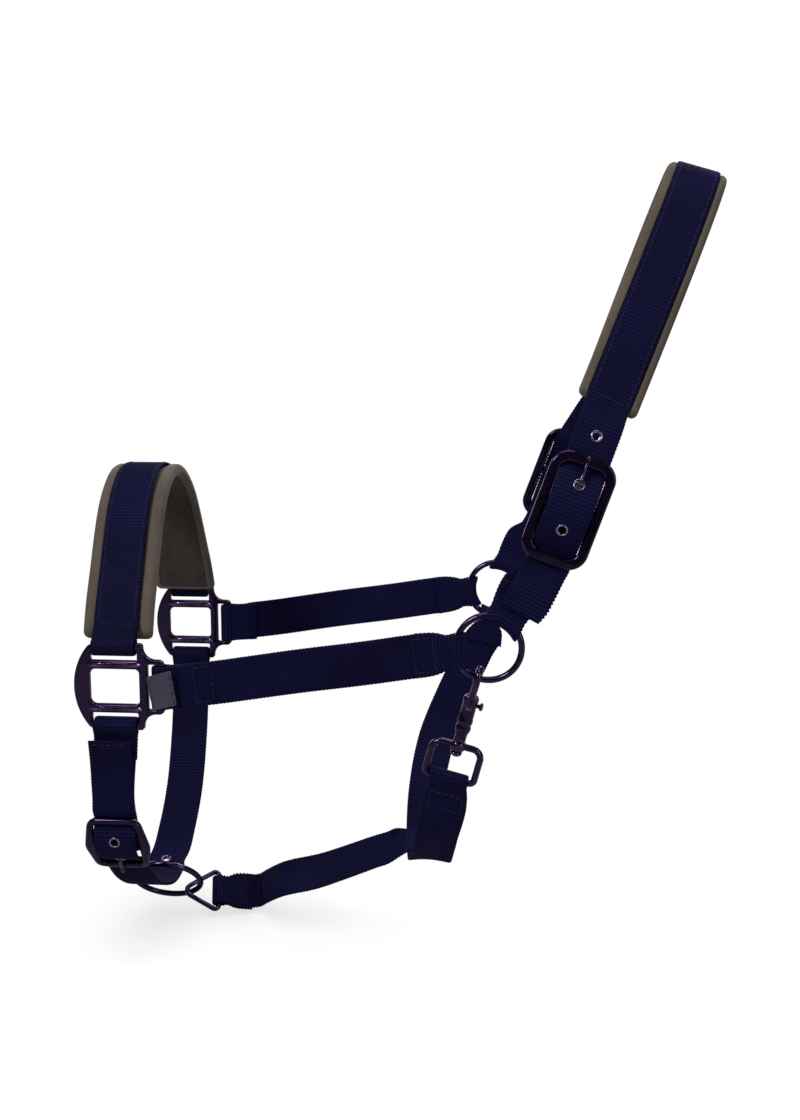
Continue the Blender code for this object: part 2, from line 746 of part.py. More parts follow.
def chin_buckle():
    half_w = CHIN_WIDTH / 2
    half_l = CHIN_BAR + CHIN_BAR_WIDE / 2
    inner_l = CHIN_BAR - CHIN_BAR_WIDE / 2
    barrel = 2.6
    outer = rounded(
        [
            (-half_w + 1.5, -half_l, 7), (half_w - 1.5, -half_l, 7), (half_w + barrel, 0, 14),
            (half_w - 1.5, half_l, 7), (-half_w + 1.5, half_l, 7), (-half_w - barrel, 0, 14),
        ],
        5,
    )
    bar = 1.8
    upper = rounded([(-13.3, bar, 0.8), (13.3, bar, 0.8), (13.3, inner_l, 0.8), (-13.3, inner_l, 0.8)], 1)
    lower = [Vector((p.x, -p.y)) for p in reversed(upper)]
    axes = Matrix((ALONG, CHIN_UP, ALONG.cross(CHIN_UP))).transposed().to_4x4()
    plate("chin_buckle", [outer, upper, lower], 3.6, 1.1, METAL, Matrix.Translation(CHIN_AT) @ axes)


def chin_tongue():
    rest = 1.8 + 0.3 + TONGUE_WIRE
    line = chin_strap_line()
    hole_axis = outward(strap_axis(line, CHIN_EYELET), CHIN_OUT)
    reach = CHIN_BAR + 2.7
    points = tongue_points(CHIN_AT, -CHIN_UP, CHIN_OUT, line[CHIN_EYELET], hole_axis, reach, rest)
    wire("chin_tongue", points, TONGUE_WIRE, METAL, pivot=CHIN_AT)


def chin_billet():
    """Centre of the chin strap, from its free end through the buckle: over only the centre bar."""
    hanger_low = chin_point(21.5, -5.7)
    hanger_high = LOWER_BAR - HANGER_PULL * 10.3 + HANGER_OUT * LAYER
    rise = (hanger_high - hanger_low).normalized()
    out = ALONG.cross(rise)
    free = [(51.0, 4.4), (44.0, 3.4), (34.0, 2.6), (20.0, 2.4), (8.0, 2.5)]
    points = [hanger_low + rise * a + out * o - ALONG * (0.045 * a) for a, o in free]
    passed = [
        (24.0, -3.4), (18.8, -3.3), (16.6, -2.9), (14.7, -1.0), (12.6, 1.4), (10.4, 3.62), (6.6, 5.0),
        (2.8, 6.38), (0.0, 6.75), (-3.0, 6.4), (-5.2, 5.6), (-7.2, 4.51), (-10.5, 2.2), (-13.8, -0.11),
        (-16.6, -2.9),
    ]
    points += [chin_point(a, o) for a, o in passed]
    points.append(chin_point(-CHIN_BAR, -3.3))
    return points


CHIN_EYELET = 17  # indices of the buckled and the free eyelet in chin_billet's points
CHIN_FREE_EYELET = 11
CHIN_SPARE = Vector((-213.5, 20.0, -172.5))


def chin_strap_line():
    return chin_billet() + [
        Vector((-215.5, -46.0, -156.5)),
        Vector((-213.5, -26.0, -169.5)),
        Vector((-212.5, -8.0, -175.5)),
        Vector((-212.5, 8.0, -176.0)),
        Vector((-212.5, 15.0, -174.6)),
        CHIN_SPARE,
        Vector((-212.5, 26.0, -170.0)),
        Vector((-212.0, 46.0, -158.0)),
        Vector((-211.0, 64.0, -137.0)),
        Vector((-210.7, 78.0, -108.0)),
        Vector((-210.5, 86.0, -78.0)),
    ]


def strap_axis(line, i):
    return (line[i + 1] - line[i - 1]).cross(ALONG).normalized()


def chin_strap():
    line = chin_strap_line()
    spare = line.index(CHIN_SPARE)
    rows = [row(p, ALONG, WEB_WIDTH) for p in line]
    bar = flip(FAR)(LOWER_BAR)
    pull = Vector((0, -0.12, -0.99)).normalized()
    end = loop_rows(bar, ALONG, pull, Vector((0, -0.99, 0.12)).normalized(), BAR_LOOP, 20.0)
    rows += list(reversed(end))
    holes = [(line[i], strap_axis(line, i)) for i in (CHIN_EYELET, spare, CHIN_FREE_EYELET)]
    sheet("chin_strap", rows, WEBBING, holes=holes)
    eyelet("chin_eyelet_1", *holes[0])
    eyelet("chin_eyelet_2", *holes[1])
    eyelet("chin_eyelet_3", *holes[2])


CHIN_RING_UP = Vector(
    (0, -math.sin(math.radians(CHIN_RING_TILT)), math.cos(math.radians(CHIN_RING_TILT)))
)


def chin_ring():
    points = ring_points(CHIN_RING_AT, ALONG, CHIN_RING_UP, CHIN_RING_RADIUS, 44)
    wire("chin_ring", points, RING_WIRE, METAL, True, CHIN_RING_AT)


# ---------------------------------------------------------------- jaw

LINK_CONTACT = -45.0  # the link's place round the chin ring, in degrees
LINK_YAW = 15.0
LINK_PITCH = -5.0
LINK_ROLL = -45.0
LINK_BACK = 8.7
JAW_WIDTH = 23.0
JAW_SEAM = (-46.0, 0.0, -149.0)  # where the jaw strap bends from the throat strap


def link_axes():
    """The link's length and width directions."""
    yaw, pitch, roll = (math.radians(a) for a in (LINK_YAW, LINK_PITCH, LINK_ROLL))
    along = Vector((math.cos(yaw) * math.cos(pitch), math.sin(yaw) * math.cos(pitch), math.sin(pitch)))
    level = (UP - along * along.z).normalized()
    return along, level * math.cos(roll) + along.cross(level) * math.sin(roll)


def link_place():
    """Apex of the link and the middle of its strap bar."""
    a = math.radians(LINK_CONTACT)
    along, _ = link_axes()
    held = CHIN_RING_AT + (ALONG * math.cos(a) + CHIN_RING_UP * math.sin(a)) * CHIN_RING_RADIUS
    apex = held - along * LINK_BACK
    return apex, apex + along * LINK_LENGTH


def jaw_link():
    apex, base = link_place()
    along, wide = link_axes()
    outline = rounded([(0, 0, 4.0), (LINK_LENGTH, -LINK_HALF, 2.5), (LINK_LENGTH, LINK_HALF, 2.5)], 6)
    points = [apex + along * p.x + wide * p.y for p in outline]
    wire("jaw_link", points, LINK_WIRE, METAL, True, base)


def jaw_strap():
    _, base = link_place()
    along, wide = link_axes()
    out = along.cross(wide).normalized()
    if out.y > 0:
        out = -out
    start = loop_rows(base, wide, along, out, 3.2, 22.0, 0.76)
    shift = out * LAYER
    line = [
        base + along * 26.0 + shift,
        Vector((-132.0, 4.0, -176.0)),
        Vector((-108.0, 1.0, -168.5)),
        Vector((-78.0, 0.0, -156.5)),
        Vector((-66.0, 0.0, -151.8)),
        Vector((-57.5, 1.0, -148.2)),
        Vector((-49.0, 1.0, -146.2)),
        Vector((-37.0, 1.0, -145.6)),
    ]
    turned_up = Vector((0.2, 0.35, 0.9)).normalized()
    flat = [Vector((0.0, math.cos(a), math.sin(a))) for a in (0.55, 0.2, 0.0)]
    if wide.z < 0:
        turned_up = -turned_up
        flat = [-a for a in flat]
    across = [blend_across(wide, turned_up, t) for t in (0.0, 0.3, 0.6, 0.85, 1.0)]
    rows = start + turning_rows(line, across + flat, 3, JAW_WIDTH)
    sheet("jaw_strap", rows, WEBBING, pivot=JAW_SEAM)


# ---------------------------------------------------------------- throat

EYE_WIDE = Vector((-SNAP_DOWN.z, 0, SNAP_DOWN.x)).normalized()
SNAP_FRONT = SNAP_DOWN.cross(EYE_WIDE).normalized()
HOOK_REACH = 4.2  # from the barrel's axis to the ring wire
HOOK_BEND = 4.7
HOOK_WIRE = 2.0
RING_HOLD = Vector((0, -HALF_WIDTH, 0)) + radial(180.0 + SNAP_ANGLE) * RING_RADIUS
SNAP_AT = RING_HOLD - SNAP_FRONT * HOOK_REACH
EYE_TOP = 44.0
EYE_BAR = 65.0
BORE = 2.3
BORE_TOP = 13.0
BORE_END = 33.0
BOLT_TOP = 4.2
BOLT_END = 21.0
KNOB_AT = 18.0


def snap_point(down, wide=0.0, front=0.0):
    return SNAP_AT + SNAP_DOWN * down + EYE_WIDE * wide + SNAP_FRONT * front


def throat_strap():
    ring_pull = radial(180.0 + 12.0)
    across = Vector((-ring_pull.z, 0, ring_pull.x))
    bar = Vector((0, HALF_WIDTH, 0)) + ring_pull * RING_RADIUS
    start = loop_rows(bar, across, ring_pull, Vector((0, 1, 0)), RING_LOOP, 20.0, 0.56, RING_RADIUS)
    line = [
        Vector((-15.0, 90.5, -46.0)),
        Vector((-27.0, 88.0, -72.0)),
        Vector((-38.5, 79.0, -101.0)),
        Vector((-44.0, 61.0, -129.0)),
        Vector((-43.5, 36.0, -147.0)),
        Vector((-41.0, 10.0, -152.0)),
        Vector((-38.5, -14.0, -150.5)),
        Vector((-34.5, -38.0, -141.0)),
        Vector((-30.0, -60.0, -120.0)),
    ]
    level = Vector((0.984, 0.0, 0.18))  # at the bottom the strap's width lies nearly level
    eye = snap_point(EYE_BAR)
    pull = Vector((-0.12, 0.30, -0.95)).normalized()
    out = EYE_WIDE.cross(pull).normalized()
    if out.y > 0:
        out = -out
    end = loop_rows(eye, EYE_WIDE, pull, out, 3.2, 20.0, 0.9)
    rows = start + turning_rows(line, [across] * 3 + [level] * 4 + [EYE_WIDE] * 2, 2) + list(reversed(end))
    sheet("throat_strap", rows, WEBBING, pivot=(0, 0, 0))


def snap_eye():
    """A loop for the strap with a drilled boss that the snap turns in."""
    half = SNAP_EYE_HALF
    corners = [(-half, EYE_TOP, 5.5), (half, EYE_TOP, 5.5), (half, EYE_BAR, 2.6), (-half, EYE_BAR, 2.6)]
    outline = rounded(corners, 5)
    loop = wire("snap_eye", [snap_point(p.y, p.x) for p in outline], SNAP_WIRE, METAL, True, (0, 0, 0))
    boss_profile = ((0.0, 2.4), (4.2, 2.4), (4.2, -2.4), (0.0, -2.4))
    boss = turned("boss", boss_profile, snap_point(EYE_TOP), SNAP_DOWN, METAL, 20, (0, 0, 0))
    merge(loop, "UNION", boss)
    merge(loop, "DIFFERENCE", hole_cutter("shank_hole", snap_point(EYE_TOP), SNAP_DOWN, 2.2, 12.0, 20))


def snap_body():
    """Barrel with a bore for the bolt, a hook over the cheek ring and a shank that turns in the eye."""
    barrel = (
        (0.0, BORE_TOP), (3.9, BORE_TOP), (4.4, BORE_TOP + 1.5), (4.4, 34.0), (3.6, 36.5), (3.4, 40.6),
        (1.75, 40.9), (1.75, 47.3), (3.3, 47.6), (3.3, 49.3), (2.2, 50.2), (0.0, 50.4),
    )
    body = turned("snap_body", [(r, -h) for r, h in barrel], SNAP_AT, -SNAP_DOWN, METAL, 16, SNAP_AT)
    back = HOOK_REACH + HOOK_BEND
    rising = ((20.0, 2.8), (14.0, 3.6), (9.0, 6.0), (4.0, back - 0.4))
    points = [snap_point(down, 0, front) for down, front in rising]
    for k in range(9):
        angle = math.radians(180 * k / 8)
        front = HOOK_REACH + HOOK_BEND * math.cos(angle)
        points.append(snap_point(-0.6 - HOOK_BEND * math.sin(angle), 0, front))
    points.append(snap_point(BOLT_TOP - 0.5, 0, 0.0))
    hook = wire("hook", points, HOOK_WIRE, METAL, pivot=SNAP_AT)
    merge(body, "UNION", hook)
    depth = BORE_END - BORE_TOP + 1.0
    bore = hole_cutter("bore", snap_point(BORE_END - depth / 2), SNAP_DOWN, BORE, depth, 20)
    merge(body, "DIFFERENCE", bore)
    slot = thumb_slot_cutter(KNOB_AT - 1.6, KNOB_AT + 8.6, 1.5)
    merge(body, "DIFFERENCE", slot)


def thumb_slot_cutter(top, end, half_width):
    """A box that opens the barrel's side from its bore."""
    mesh = bpy.data.meshes.new("thumb_slot")
    shape = bmesh.new()
    bmesh.ops.create_cube(shape, size=1.0)
    axes = Matrix((EYE_WIDE, SNAP_FRONT, EYE_WIDE.cross(SNAP_FRONT))).transposed().to_4x4()
    size = Matrix.Diagonal((6.0, 2 * half_width, end - top, 1.0))
    centre = snap_point((top + end) / 2, 4.2)
    bmesh.ops.transform(shape, matrix=Matrix.Translation(centre) @ axes @ size, verts=shape.verts)
    shape.to_mesh(mesh)
    shape.free()
    mesh.transform(Matrix.Scale(MM, 4) @ Matrix.Translation(-CROWN_REST))
    obj = bpy.data.objects.new("thumb_slot", mesh)
    obj.hide_render = True
    obj.display_type = "WIRE"
    CUTTERS.objects.link(obj)
    return obj


def snap_bolt():
    """The sliding bolt that closes the hook, with the thumb knob on its side."""
    profile = (
        (0.0, BOLT_TOP), (1.2, BOLT_TOP), (1.5, BOLT_TOP + 0.5), (1.5, 15.0), (2.0, 15.3), (2.0, BOLT_END),
        (0.0, BOLT_END),
    )
    bolt = turned("snap_bolt", [(r, -h) for r, h in profile], SNAP_AT, -SNAP_DOWN, METAL, 16, SNAP_AT)
    knob_profile = ((0.0, 7.6), (1.7, 7.6), (2.3, 6.9), (2.3, 6.0), (1.1, 5.4), (1.1, 0.6), (0.0, 0.6))
    knob = turned("knob", knob_profile, snap_point(KNOB_AT), EYE_WIDE, METAL, 14, SNAP_AT)
    merge(bolt, "UNION", knob)


def snap_spring():
    """The coil under the bolt, in the barrel's bore."""
    turns = 6
    per_turn = 10
    radius = 1.7
    wire_radius = 0.26
    top = BOLT_END + 0.3 + wire_radius
    end = BORE_END - 0.3 - wire_radius
    points = []
    for i in range(turns * per_turn + 1):
        a = math.tau * i / per_turn
        down = top + (end - top) * i / (turns * per_turn)
        points.append(snap_point(down, radius * math.cos(a), radius * math.sin(a)))
    wire("snap_spring", points, wire_radius, SPRING, pivot=SNAP_AT, resolution=1)


def main():
    nose_webbing()
    nose_pad()
    for name, side in SIDES.items():
        square(f"{name}_square", side)
        cheek_strap(f"{name}_cheek_strap", side)
        cheek_ring(f"{name}_cheek_ring", side)
        crown_hanger(f"{name}_crown_hanger", side)
        crown_buckle(f"{name}_crown_buckle", side)
        crown_tongue(f"{name}_crown_tongue", side)
        for i in range(len(EYELETS)):
            eyelet(f"{name}_crown_eyelet_{i + 1}", *eyelet_place(side, i), (0, 0, 0))
    cheek_label()
    crown_strap()
    crown_pad()
    chin_hanger()
    chin_buckle()
    chin_tongue()
    chin_strap()
    chin_ring()
    jaw_link()
    jaw_strap()
    throat_strap()
    snap_eye()
    snap_body()
    snap_bolt()
    snap_spring()
    bpy.context.view_layer.update()


main()
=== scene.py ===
"""Looks of the padded webbing head halter: ribbed webbing, simulated pads, stitching and plated hardware.

Sizes are millimetres in the head frame, as in the CAD: its origin is midway between the two cheek rings,
X points to the poll, +Y to the far side and +Z up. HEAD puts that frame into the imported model's frame.
"""

import math

import bmesh
import bpy
import numpy as np
from mathutils import Matrix, Vector

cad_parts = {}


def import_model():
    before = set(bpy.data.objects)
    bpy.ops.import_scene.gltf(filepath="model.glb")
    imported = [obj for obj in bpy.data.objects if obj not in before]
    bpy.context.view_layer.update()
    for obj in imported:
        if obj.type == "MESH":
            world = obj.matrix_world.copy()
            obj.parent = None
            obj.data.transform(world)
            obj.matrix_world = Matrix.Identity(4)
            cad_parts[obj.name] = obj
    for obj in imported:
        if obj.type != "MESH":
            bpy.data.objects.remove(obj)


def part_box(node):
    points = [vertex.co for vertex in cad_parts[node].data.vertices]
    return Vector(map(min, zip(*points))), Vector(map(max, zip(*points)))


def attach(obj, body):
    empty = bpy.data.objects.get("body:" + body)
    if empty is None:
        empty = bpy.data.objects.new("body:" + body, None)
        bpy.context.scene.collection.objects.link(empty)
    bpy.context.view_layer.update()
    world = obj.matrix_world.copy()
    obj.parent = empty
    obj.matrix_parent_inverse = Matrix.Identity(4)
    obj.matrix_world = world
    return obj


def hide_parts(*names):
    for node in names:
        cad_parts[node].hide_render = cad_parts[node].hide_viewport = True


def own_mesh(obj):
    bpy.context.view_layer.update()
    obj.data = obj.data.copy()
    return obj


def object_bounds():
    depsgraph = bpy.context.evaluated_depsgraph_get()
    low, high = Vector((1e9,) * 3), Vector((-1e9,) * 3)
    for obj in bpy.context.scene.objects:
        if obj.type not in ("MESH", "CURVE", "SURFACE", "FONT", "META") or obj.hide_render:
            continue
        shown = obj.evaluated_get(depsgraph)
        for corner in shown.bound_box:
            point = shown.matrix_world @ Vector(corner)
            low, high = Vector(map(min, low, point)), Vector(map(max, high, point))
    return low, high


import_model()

CAD_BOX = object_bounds()
MM = 0.001
NEAR = -1.0
FAR = 1.0
SIDES = {"near": NEAR, "far": FAR}


def middle(node):
    low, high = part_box(node)
    return (low + high) / 2


HEAD = (middle("near_cheek_ring") + middle("far_cheek_ring")) / 2
HALF_WIDTH = (middle("far_cheek_ring") - middle("near_cheek_ring")).y / 2 / MM
UP = Vector((0, 0, 1))
ALONG = Vector((1, 0, 0))
SIDE = Vector((0, 1, 0))

# Webbing and padding
WEB_WIDTH = 25.0
WEB = 1.9
LAYER = 1.15  # a strap's centre from the plane between two sewn layers
RIB = 2.1  # spacing of the cross ribs
RIB_HEIGHT = 0.13
WARP = 1.05  # spacing of the threads along the webbing
EDGE_STARTS = 0.86  # share of a strap's half width where its edge starts to round
FLAP = 20.0  # a sewn fold's short layer, from its bar
LONG_FLAP = 22.0
HOLE_RADIUS = 2.7  # an eyelet's hole in the webbing
HOLE_DEPTH = 3.0  # how far a hole reaches along its axis, either way
SLOT_HALF = 2.6  # half the width of a tongue's slot
PAD_NEAR_FACE = 1.4  # the pad's outer face, below the webbing's centre
PAD_FAR_FACE = 7.2
PAD_SEWN_END = 6.0  # a pad is held down over this length at its ends
TAPE_FROM = 12.5  # the binding starts this far from a pad's middle line
TAPE_END = 3.9  # and covers this length at its ends

# Squares, rings and buckles
SQUARE_X = -210.5
SQUARE_Z = -26.5
FRONT_BAR = 22.7
REAR_BAR = 26.65
BAR_LOOP = 4.1
RING_RADIUS = 18.1
RING_WIRE = 1.85
RING_LOOP = RING_WIRE + 2.0
CHEEK_LINE = ((-166.0, -24.6), (-147.9, -22.1), (-106.4, -15.4), (-70.8, -10.3), (-46.0, -6.3))
BUCKLE_TILT = 20.0
BUCKLE_LEAN = 0.06
BUCKLE_AT = (42.2, 76.3)
CENTRE_LOOP = 3.5
TONGUE_WIRE = 1.15
TONGUE_LOOP = 3.65
FRAME_THICK = 3.6  # a buckle frame, with a centre bar of half that to each side of its middle
CENTRE_BAR = 1.8
TONGUE_REST = CENTRE_BAR + 0.3 + TONGUE_WIRE  # a tongue's height over the frame's end bar
WRAP_LOOP = 3.2  # a strap's centre round a thin wire
HANGER_ANGLE = 29.0

# Crown and nose arches
CROWN_FOOT = Vector((62.3, 80.0, 132.2))
CROWN_TOP = Vector((115.0, 0.0, 262.8))
CROWN_PAD_WIDTH = 34.0
CROWN_ARCH = (
    (76.0, 0.0), (67.5, 25.0), (58.0, 51.0), (47.5, 77.0), (35.5, 100.0), (23.0, 117.5), (13.0, 127.0),
)
CROWN_RISE = 130.6
FAR_TWIST = 8.0
NOSE_ARCH = ((82.5, 8.0), (75.0, 20.0), (63.5, 38.0), (53.0, 55.0), (41.0, 71.0), (26.0, 83.0), (10.0, 90.0))
NOSE_TOP_X = -214.0
NOSE_PAD_WIDTH = 39.5

# Chin buckle, ring and link
CHIN_AT = Vector((-217.0, -71.0, -126.5))
CHIN_UP = Vector((0.0, -0.479, 0.878))
CHIN_OUT = Vector((0.0, -0.878, -0.479))
CHIN_BAR = 18.8
CHIN_RAIL_ARCH = 2.6  # how far the side rails bow out over the strap
CHIN_RING_RADIUS = 21.5
CHIN_RING_TILT = 42.0
CHIN_RING_AT = Vector((-208.3, 3.0, -178.5))
LINK_WIRE = 1.58
LINK_LENGTH = 24.5
LINK_HALF = 14.5
LINK_CONTACT = -45.0
LINK_YAW = 15.0
LINK_PITCH = -5.0
LINK_ROLL = -45.0
LINK_BACK = 8.7
JAW_WIDTH = 23.0

# Snap
SNAP_ANGLE = 19.0
SNAP_DOWN = Vector((-0.25, 0.13, -0.95)).normalized()
SNAP_EYE_HALF = 14.2
SNAP_WIRE = 1.95
HOOK_REACH = 4.2
HOOK_BEND = 4.7
HOOK_WIRE = 2.0
EYE_TOP = 44.0
EYE_BAR = 65.0
SPRING_TOP = 21.56
SPRING_LENGTH = 10.88
SPRING_TURNS = 6
SPRING_RADIUS = 1.7


# Materials


class Shader:
    """A node material with short helpers for its tree."""

    def __init__(self, name):
        self.material = bpy.data.materials.new(name)
        self.material.use_nodes = True
        self.tree = self.material.node_tree
        self.surface = self.tree.nodes["Principled BSDF"]

    def node(self, kind, settings=None, **inputs):
        made = self.tree.nodes.new(kind)
        for key, value in (settings or {}).items():
            setattr(made, key, value)
        for key, value in inputs.items():
            self.feed(made.inputs[key.replace("_", " ")], value)
        return made

    def feed(self, socket, value):
        if isinstance(value, bpy.types.NodeSocket):
            self.tree.links.new(value, socket)
        else:
            socket.default_value = value

    def look(self, **values):
        """Set the surface's inputs, and return the material."""
        for name, value in values.items():
            self.feed(self.surface.inputs[name.replace("_", " ")], value)
        return self.material

    def ordered(self, kind, values, settings=None):
        """The first output of a new node fed with values in the order of its inputs."""
        made = self.node(kind, settings)
        for i, value in enumerate(values):
            self.feed(made.inputs[i], value)
        return made.outputs[0]

    def math(self, operation, first, second=0.0):
        return self.ordered("ShaderNodeMath", (first, second), {"operation": operation})

    def spread(self, value, low, high, to_low=0.0, to_high=1.0):
        return self.ordered("ShaderNodeMapRange", (value, low, high, to_low, to_high))

    def mix(self, factor, first, second):
        made = self.tree.nodes.new("ShaderNodeMix")
        made.data_type = "RGBA"
        self.feed(made.inputs["Factor"], factor)
        self.feed(made.inputs["A"], first)
        self.feed(made.inputs["B"], second)
        return made.outputs["Result"]

    def noise(self, vector, scale, detail=3.0, rough=0.55):
        return self.node(
            "ShaderNodeTexNoise", None, Vector=vector, Scale=scale, Detail=detail, Roughness=rough
        ).outputs["Fac"]

    def bump(self, height, strength, distance, under=None):
        made = self.node("ShaderNodeBump", None, Height=height, Strength=strength, Distance=distance)
        if under is not None:
            self.feed(made.inputs["Normal"], under)
        return made.outputs["Normal"]

    def object_place(self):
        return self.node("ShaderNodeTexCoord").outputs["Object"]


def rgb(red, green, blue):
    return (red, green, blue, 1.0)


def webbing_material():
    """Navy nylon: cross ribs from the strap's own length, fine warp threads, sheen on the fibres, and a
    painted highlight: a lighter colour on the rib crests, strong in some broad patches and faint in others.
    """
    m = Shader("webbing")
    uv = m.node("ShaderNodeUVMap", {"uv_map": "strap"}).outputs["UV"]
    place = m.node("ShaderNodeSeparateXYZ", None, Vector=uv)
    across, along = place.outputs["X"], place.outputs["Y"]
    phase = m.math("MULTIPLY", along, math.tau / (RIB * MM))
    rib = m.spread(m.math("COSINE", phase), -1.0, 1.0)
    warp = m.math("SINE", m.math("MULTIPLY", across, math.tau / (WARP * MM)))
    half = m.math("SINE", m.math("MULTIPLY", phase, 0.5))
    weave = m.spread(m.math("MULTIPLY", warp, half), -1.0, 1.0)
    stretched = m.ordered("ShaderNodeVectorMath", (uv, (900.0, 330.0, 1.0)), {"operation": "MULTIPLY"})
    thread = m.noise(stretched, 1.6, 4.0)
    broad = m.noise(m.object_place(), 26.0, 3.0)
    # Painted highlight: a lighter colour on the rib crests, thinned by the thread noise and faded in broad
    # patches.
    rib_highlight_mask = m.math("MULTIPLY", m.math("POWER", rib, 2.2), m.spread(thread, 0.35, 0.7, 0.25, 1.0))
    painted_rib_highlight = m.math("MULTIPLY", rib_highlight_mask, m.spread(broad, 0.36, 0.62, 0.12, 1.0))
    dark = m.mix(weave, rgb(0.0017, 0.0013, 0.0165), rgb(0.0032, 0.0025, 0.0300))
    height = m.math("ADD", m.math("MULTIPLY", weave, 0.6), thread)
    # The third colour is the painted highlight on the rib crests.
    return m.look(
        Base_Color=m.mix(painted_rib_highlight, dark, rgb(0.0128, 0.0108, 0.105)), Specular_IOR_Level=0.10,
        Roughness=m.spread(thread, 0.3, 0.7, 0.62, 0.82), Normal=m.bump(height, 0.55, 0.00022),
        Sheen_Weight=0.05, Sheen_Roughness=0.45, Sheen_Tint=rgb(0.25, 0.25, 0.95),
    )


def cloth_material(name, dark, light, grain, bump):
    """Brushed knit cover of the padding."""
    m = Shader(name)
    at = m.object_place()
    fine = m.noise(at, grain, 5.0, 0.7)
    knit = m.node("ShaderNodeTexVoronoi", {"feature": "F1"}, Vector=at, Scale=1150.0).outputs["Distance"]
    broad = m.noise(at, 34.0, 2.0)
    tone = m.math("ADD", m.math("MULTIPLY", fine, 0.6), m.math("MULTIPLY", broad, 0.4))
    soft = m.bump(fine, 0.35, bump)
    return m.look(
        Base_Color=m.mix(m.spread(tone, 0.35, 0.66), dark, light), Roughness=0.92, Specular_IOR_Level=0.2,
        Sheen_Weight=0.22, Sheen_Roughness=0.5, Sheen_Tint=rgb(0.9, 0.8, 0.72),
        Normal=m.bump(knit, 0.35, 0.00025, soft),
    )


def metal_material(name, dark, light, edge_highlight, roughness):
    """Plated cast metal: clouded tone, handling marks, and a painted highlight: a pale colour along its
    sharper edges, broken up by the marks.
    """
    m = Shader(name)
    at = m.object_place()
    clouds = m.noise(at, 70.0, 4.0)
    marks = m.noise(at, 900.0, 6.0, 0.7)
    edge = m.node("ShaderNodeNewGeometry").outputs["Pointiness"]
    # Painted highlight: a pale colour laid on the sharper edges, broken up by the mark noise.
    edge_highlight_mask = m.math("MULTIPLY", m.spread(edge, 0.53, 0.6), m.spread(marks, 0.4, 0.6, 0.2, 0.9))
    tone = m.mix(m.spread(clouds, 0.35, 0.65), dark, light)
    relief = m.math("ADD", clouds, m.math("MULTIPLY", marks, 0.25))
    return m.look(
        Base_Color=m.mix(edge_highlight_mask, tone, edge_highlight), Metallic=1.0,
        Roughness=m.spread(marks, 0.3, 0.75, roughness * 0.8, roughness * 1.5),
        Coat_Weight=0.45, Coat_Roughness=0.08, Coat_Tint=rgb(0.9, 0.78, 1.0),
        Normal=m.bump(relief, 0.18, 0.00035),
    )


def thread_material():
    m = Shader("thread")
    twist = m.noise(m.object_place(), 2200.0, 2.0)
    tone = m.mix(m.spread(twist, 0.35, 0.65), rgb(0.003, 0.0026, 0.022), rgb(0.0075, 0.0066, 0.052))
    return m.look(Base_Color=tone, Roughness=0.7, Sheen_Weight=0.05, Normal=m.bump(twist, 0.5, 0.0002))


WEBBING = webbing_material()
THREAD = thread_material()
CUSHION = cloth_material("cushion", rgb(0.030, 0.024, 0.021), rgb(0.060, 0.048, 0.042), 420.0, 0.0005)
BINDING = cloth_material("binding", rgb(0.088, 0.069, 0.056), rgb(0.150, 0.121, 0.101), 700.0, 0.0004)
LABEL = cloth_material("label", rgb(0.045, 0.047, 0.075), rgb(0.085, 0.088, 0.125), 1600.0, 0.0003)
# Pale lilac painted on the hardware's edges as a highlight. The third colour of each metal below is its
# painted edge highlight.
METAL_EDGE_HIGHLIGHT = rgb(0.36, 0.20, 0.46)
METAL = metal_material("hardware", rgb(0.010, 0.006, 0.036), rgb(0.036, 0.010, 0.064), METAL_EDGE_HIGHLIGHT, 0.15)
EYELET = metal_material("eyelet", rgb(0.26, 0.23, 0.33), rgb(0.40, 0.36, 0.48), rgb(0.62, 0.58, 0.7), 0.22)
SPRING = metal_material("spring", rgb(0.35, 0.35, 0.38), rgb(0.5, 0.5, 0.53), rgb(0.7, 0.7, 0.72), 0.25)


# Placing pieces


def head_place(points):
    return np.asarray(points, float) * MM + np.array(HEAD)


def add_object(name, data):
    obj = bpy.data.objects.new(name, data)
    bpy.context.scene.collection.objects.link(obj)
    return obj


def piece(name, mesh, material, body, nodes=()):
    """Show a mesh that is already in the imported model's frame, riding on body and standing for nodes."""
    mesh.materials.clear()
    mesh.materials.append(material)
    obj = add_object(name, mesh)
    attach(obj, body)
    if nodes:
        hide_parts(*nodes)
    return obj


def hardware(name, mesh, body):
    return piece(name, mesh, METAL, body, [name])


def mesh_of(name, points, faces):
    mesh = bpy.data.meshes.new(name)
    mesh.from_pydata(np.asarray(points).tolist(), [], [list(f) for f in faces])
    mesh.shade_smooth()
    return mesh


def grid_faces(rows, columns, wrap=True, keep=lambda i, j, k: True):
    """Quads between a grid's neighbouring points where keep allows, closed round its columns if wrap."""
    quads = []
    for i in range(rows - 1):
        for j in range(columns if wrap else columns - 1):
            k = (j + 1) % columns
            if keep(i, j, k):
                quads.append((i * columns + j, i * columns + k, (i + 1) * columns + k, (i + 1) * columns + j))
    return quads


def refined(mesh, *steps):
    """The mesh after some bmesh steps, with its faces turned outwards."""
    shape = bmesh.new()
    shape.from_mesh(mesh)
    for step in steps:
        step(shape)
    bmesh.ops.recalc_face_normals(shape, faces=shape.faces)
    shape.to_mesh(mesh)
    shape.free()
    return mesh


def weld(shape):
    bmesh.ops.remove_doubles(shape, verts=shape.verts, dist=1e-4)


def split_caps(shape):
    bmesh.ops.triangulate(shape, faces=[f for f in shape.faces if len(f.verts) > 4])


def drop_loose(shape):
    bmesh.ops.delete(shape, geom=[v for v in shape.verts if not v.link_faces], context="VERTS")


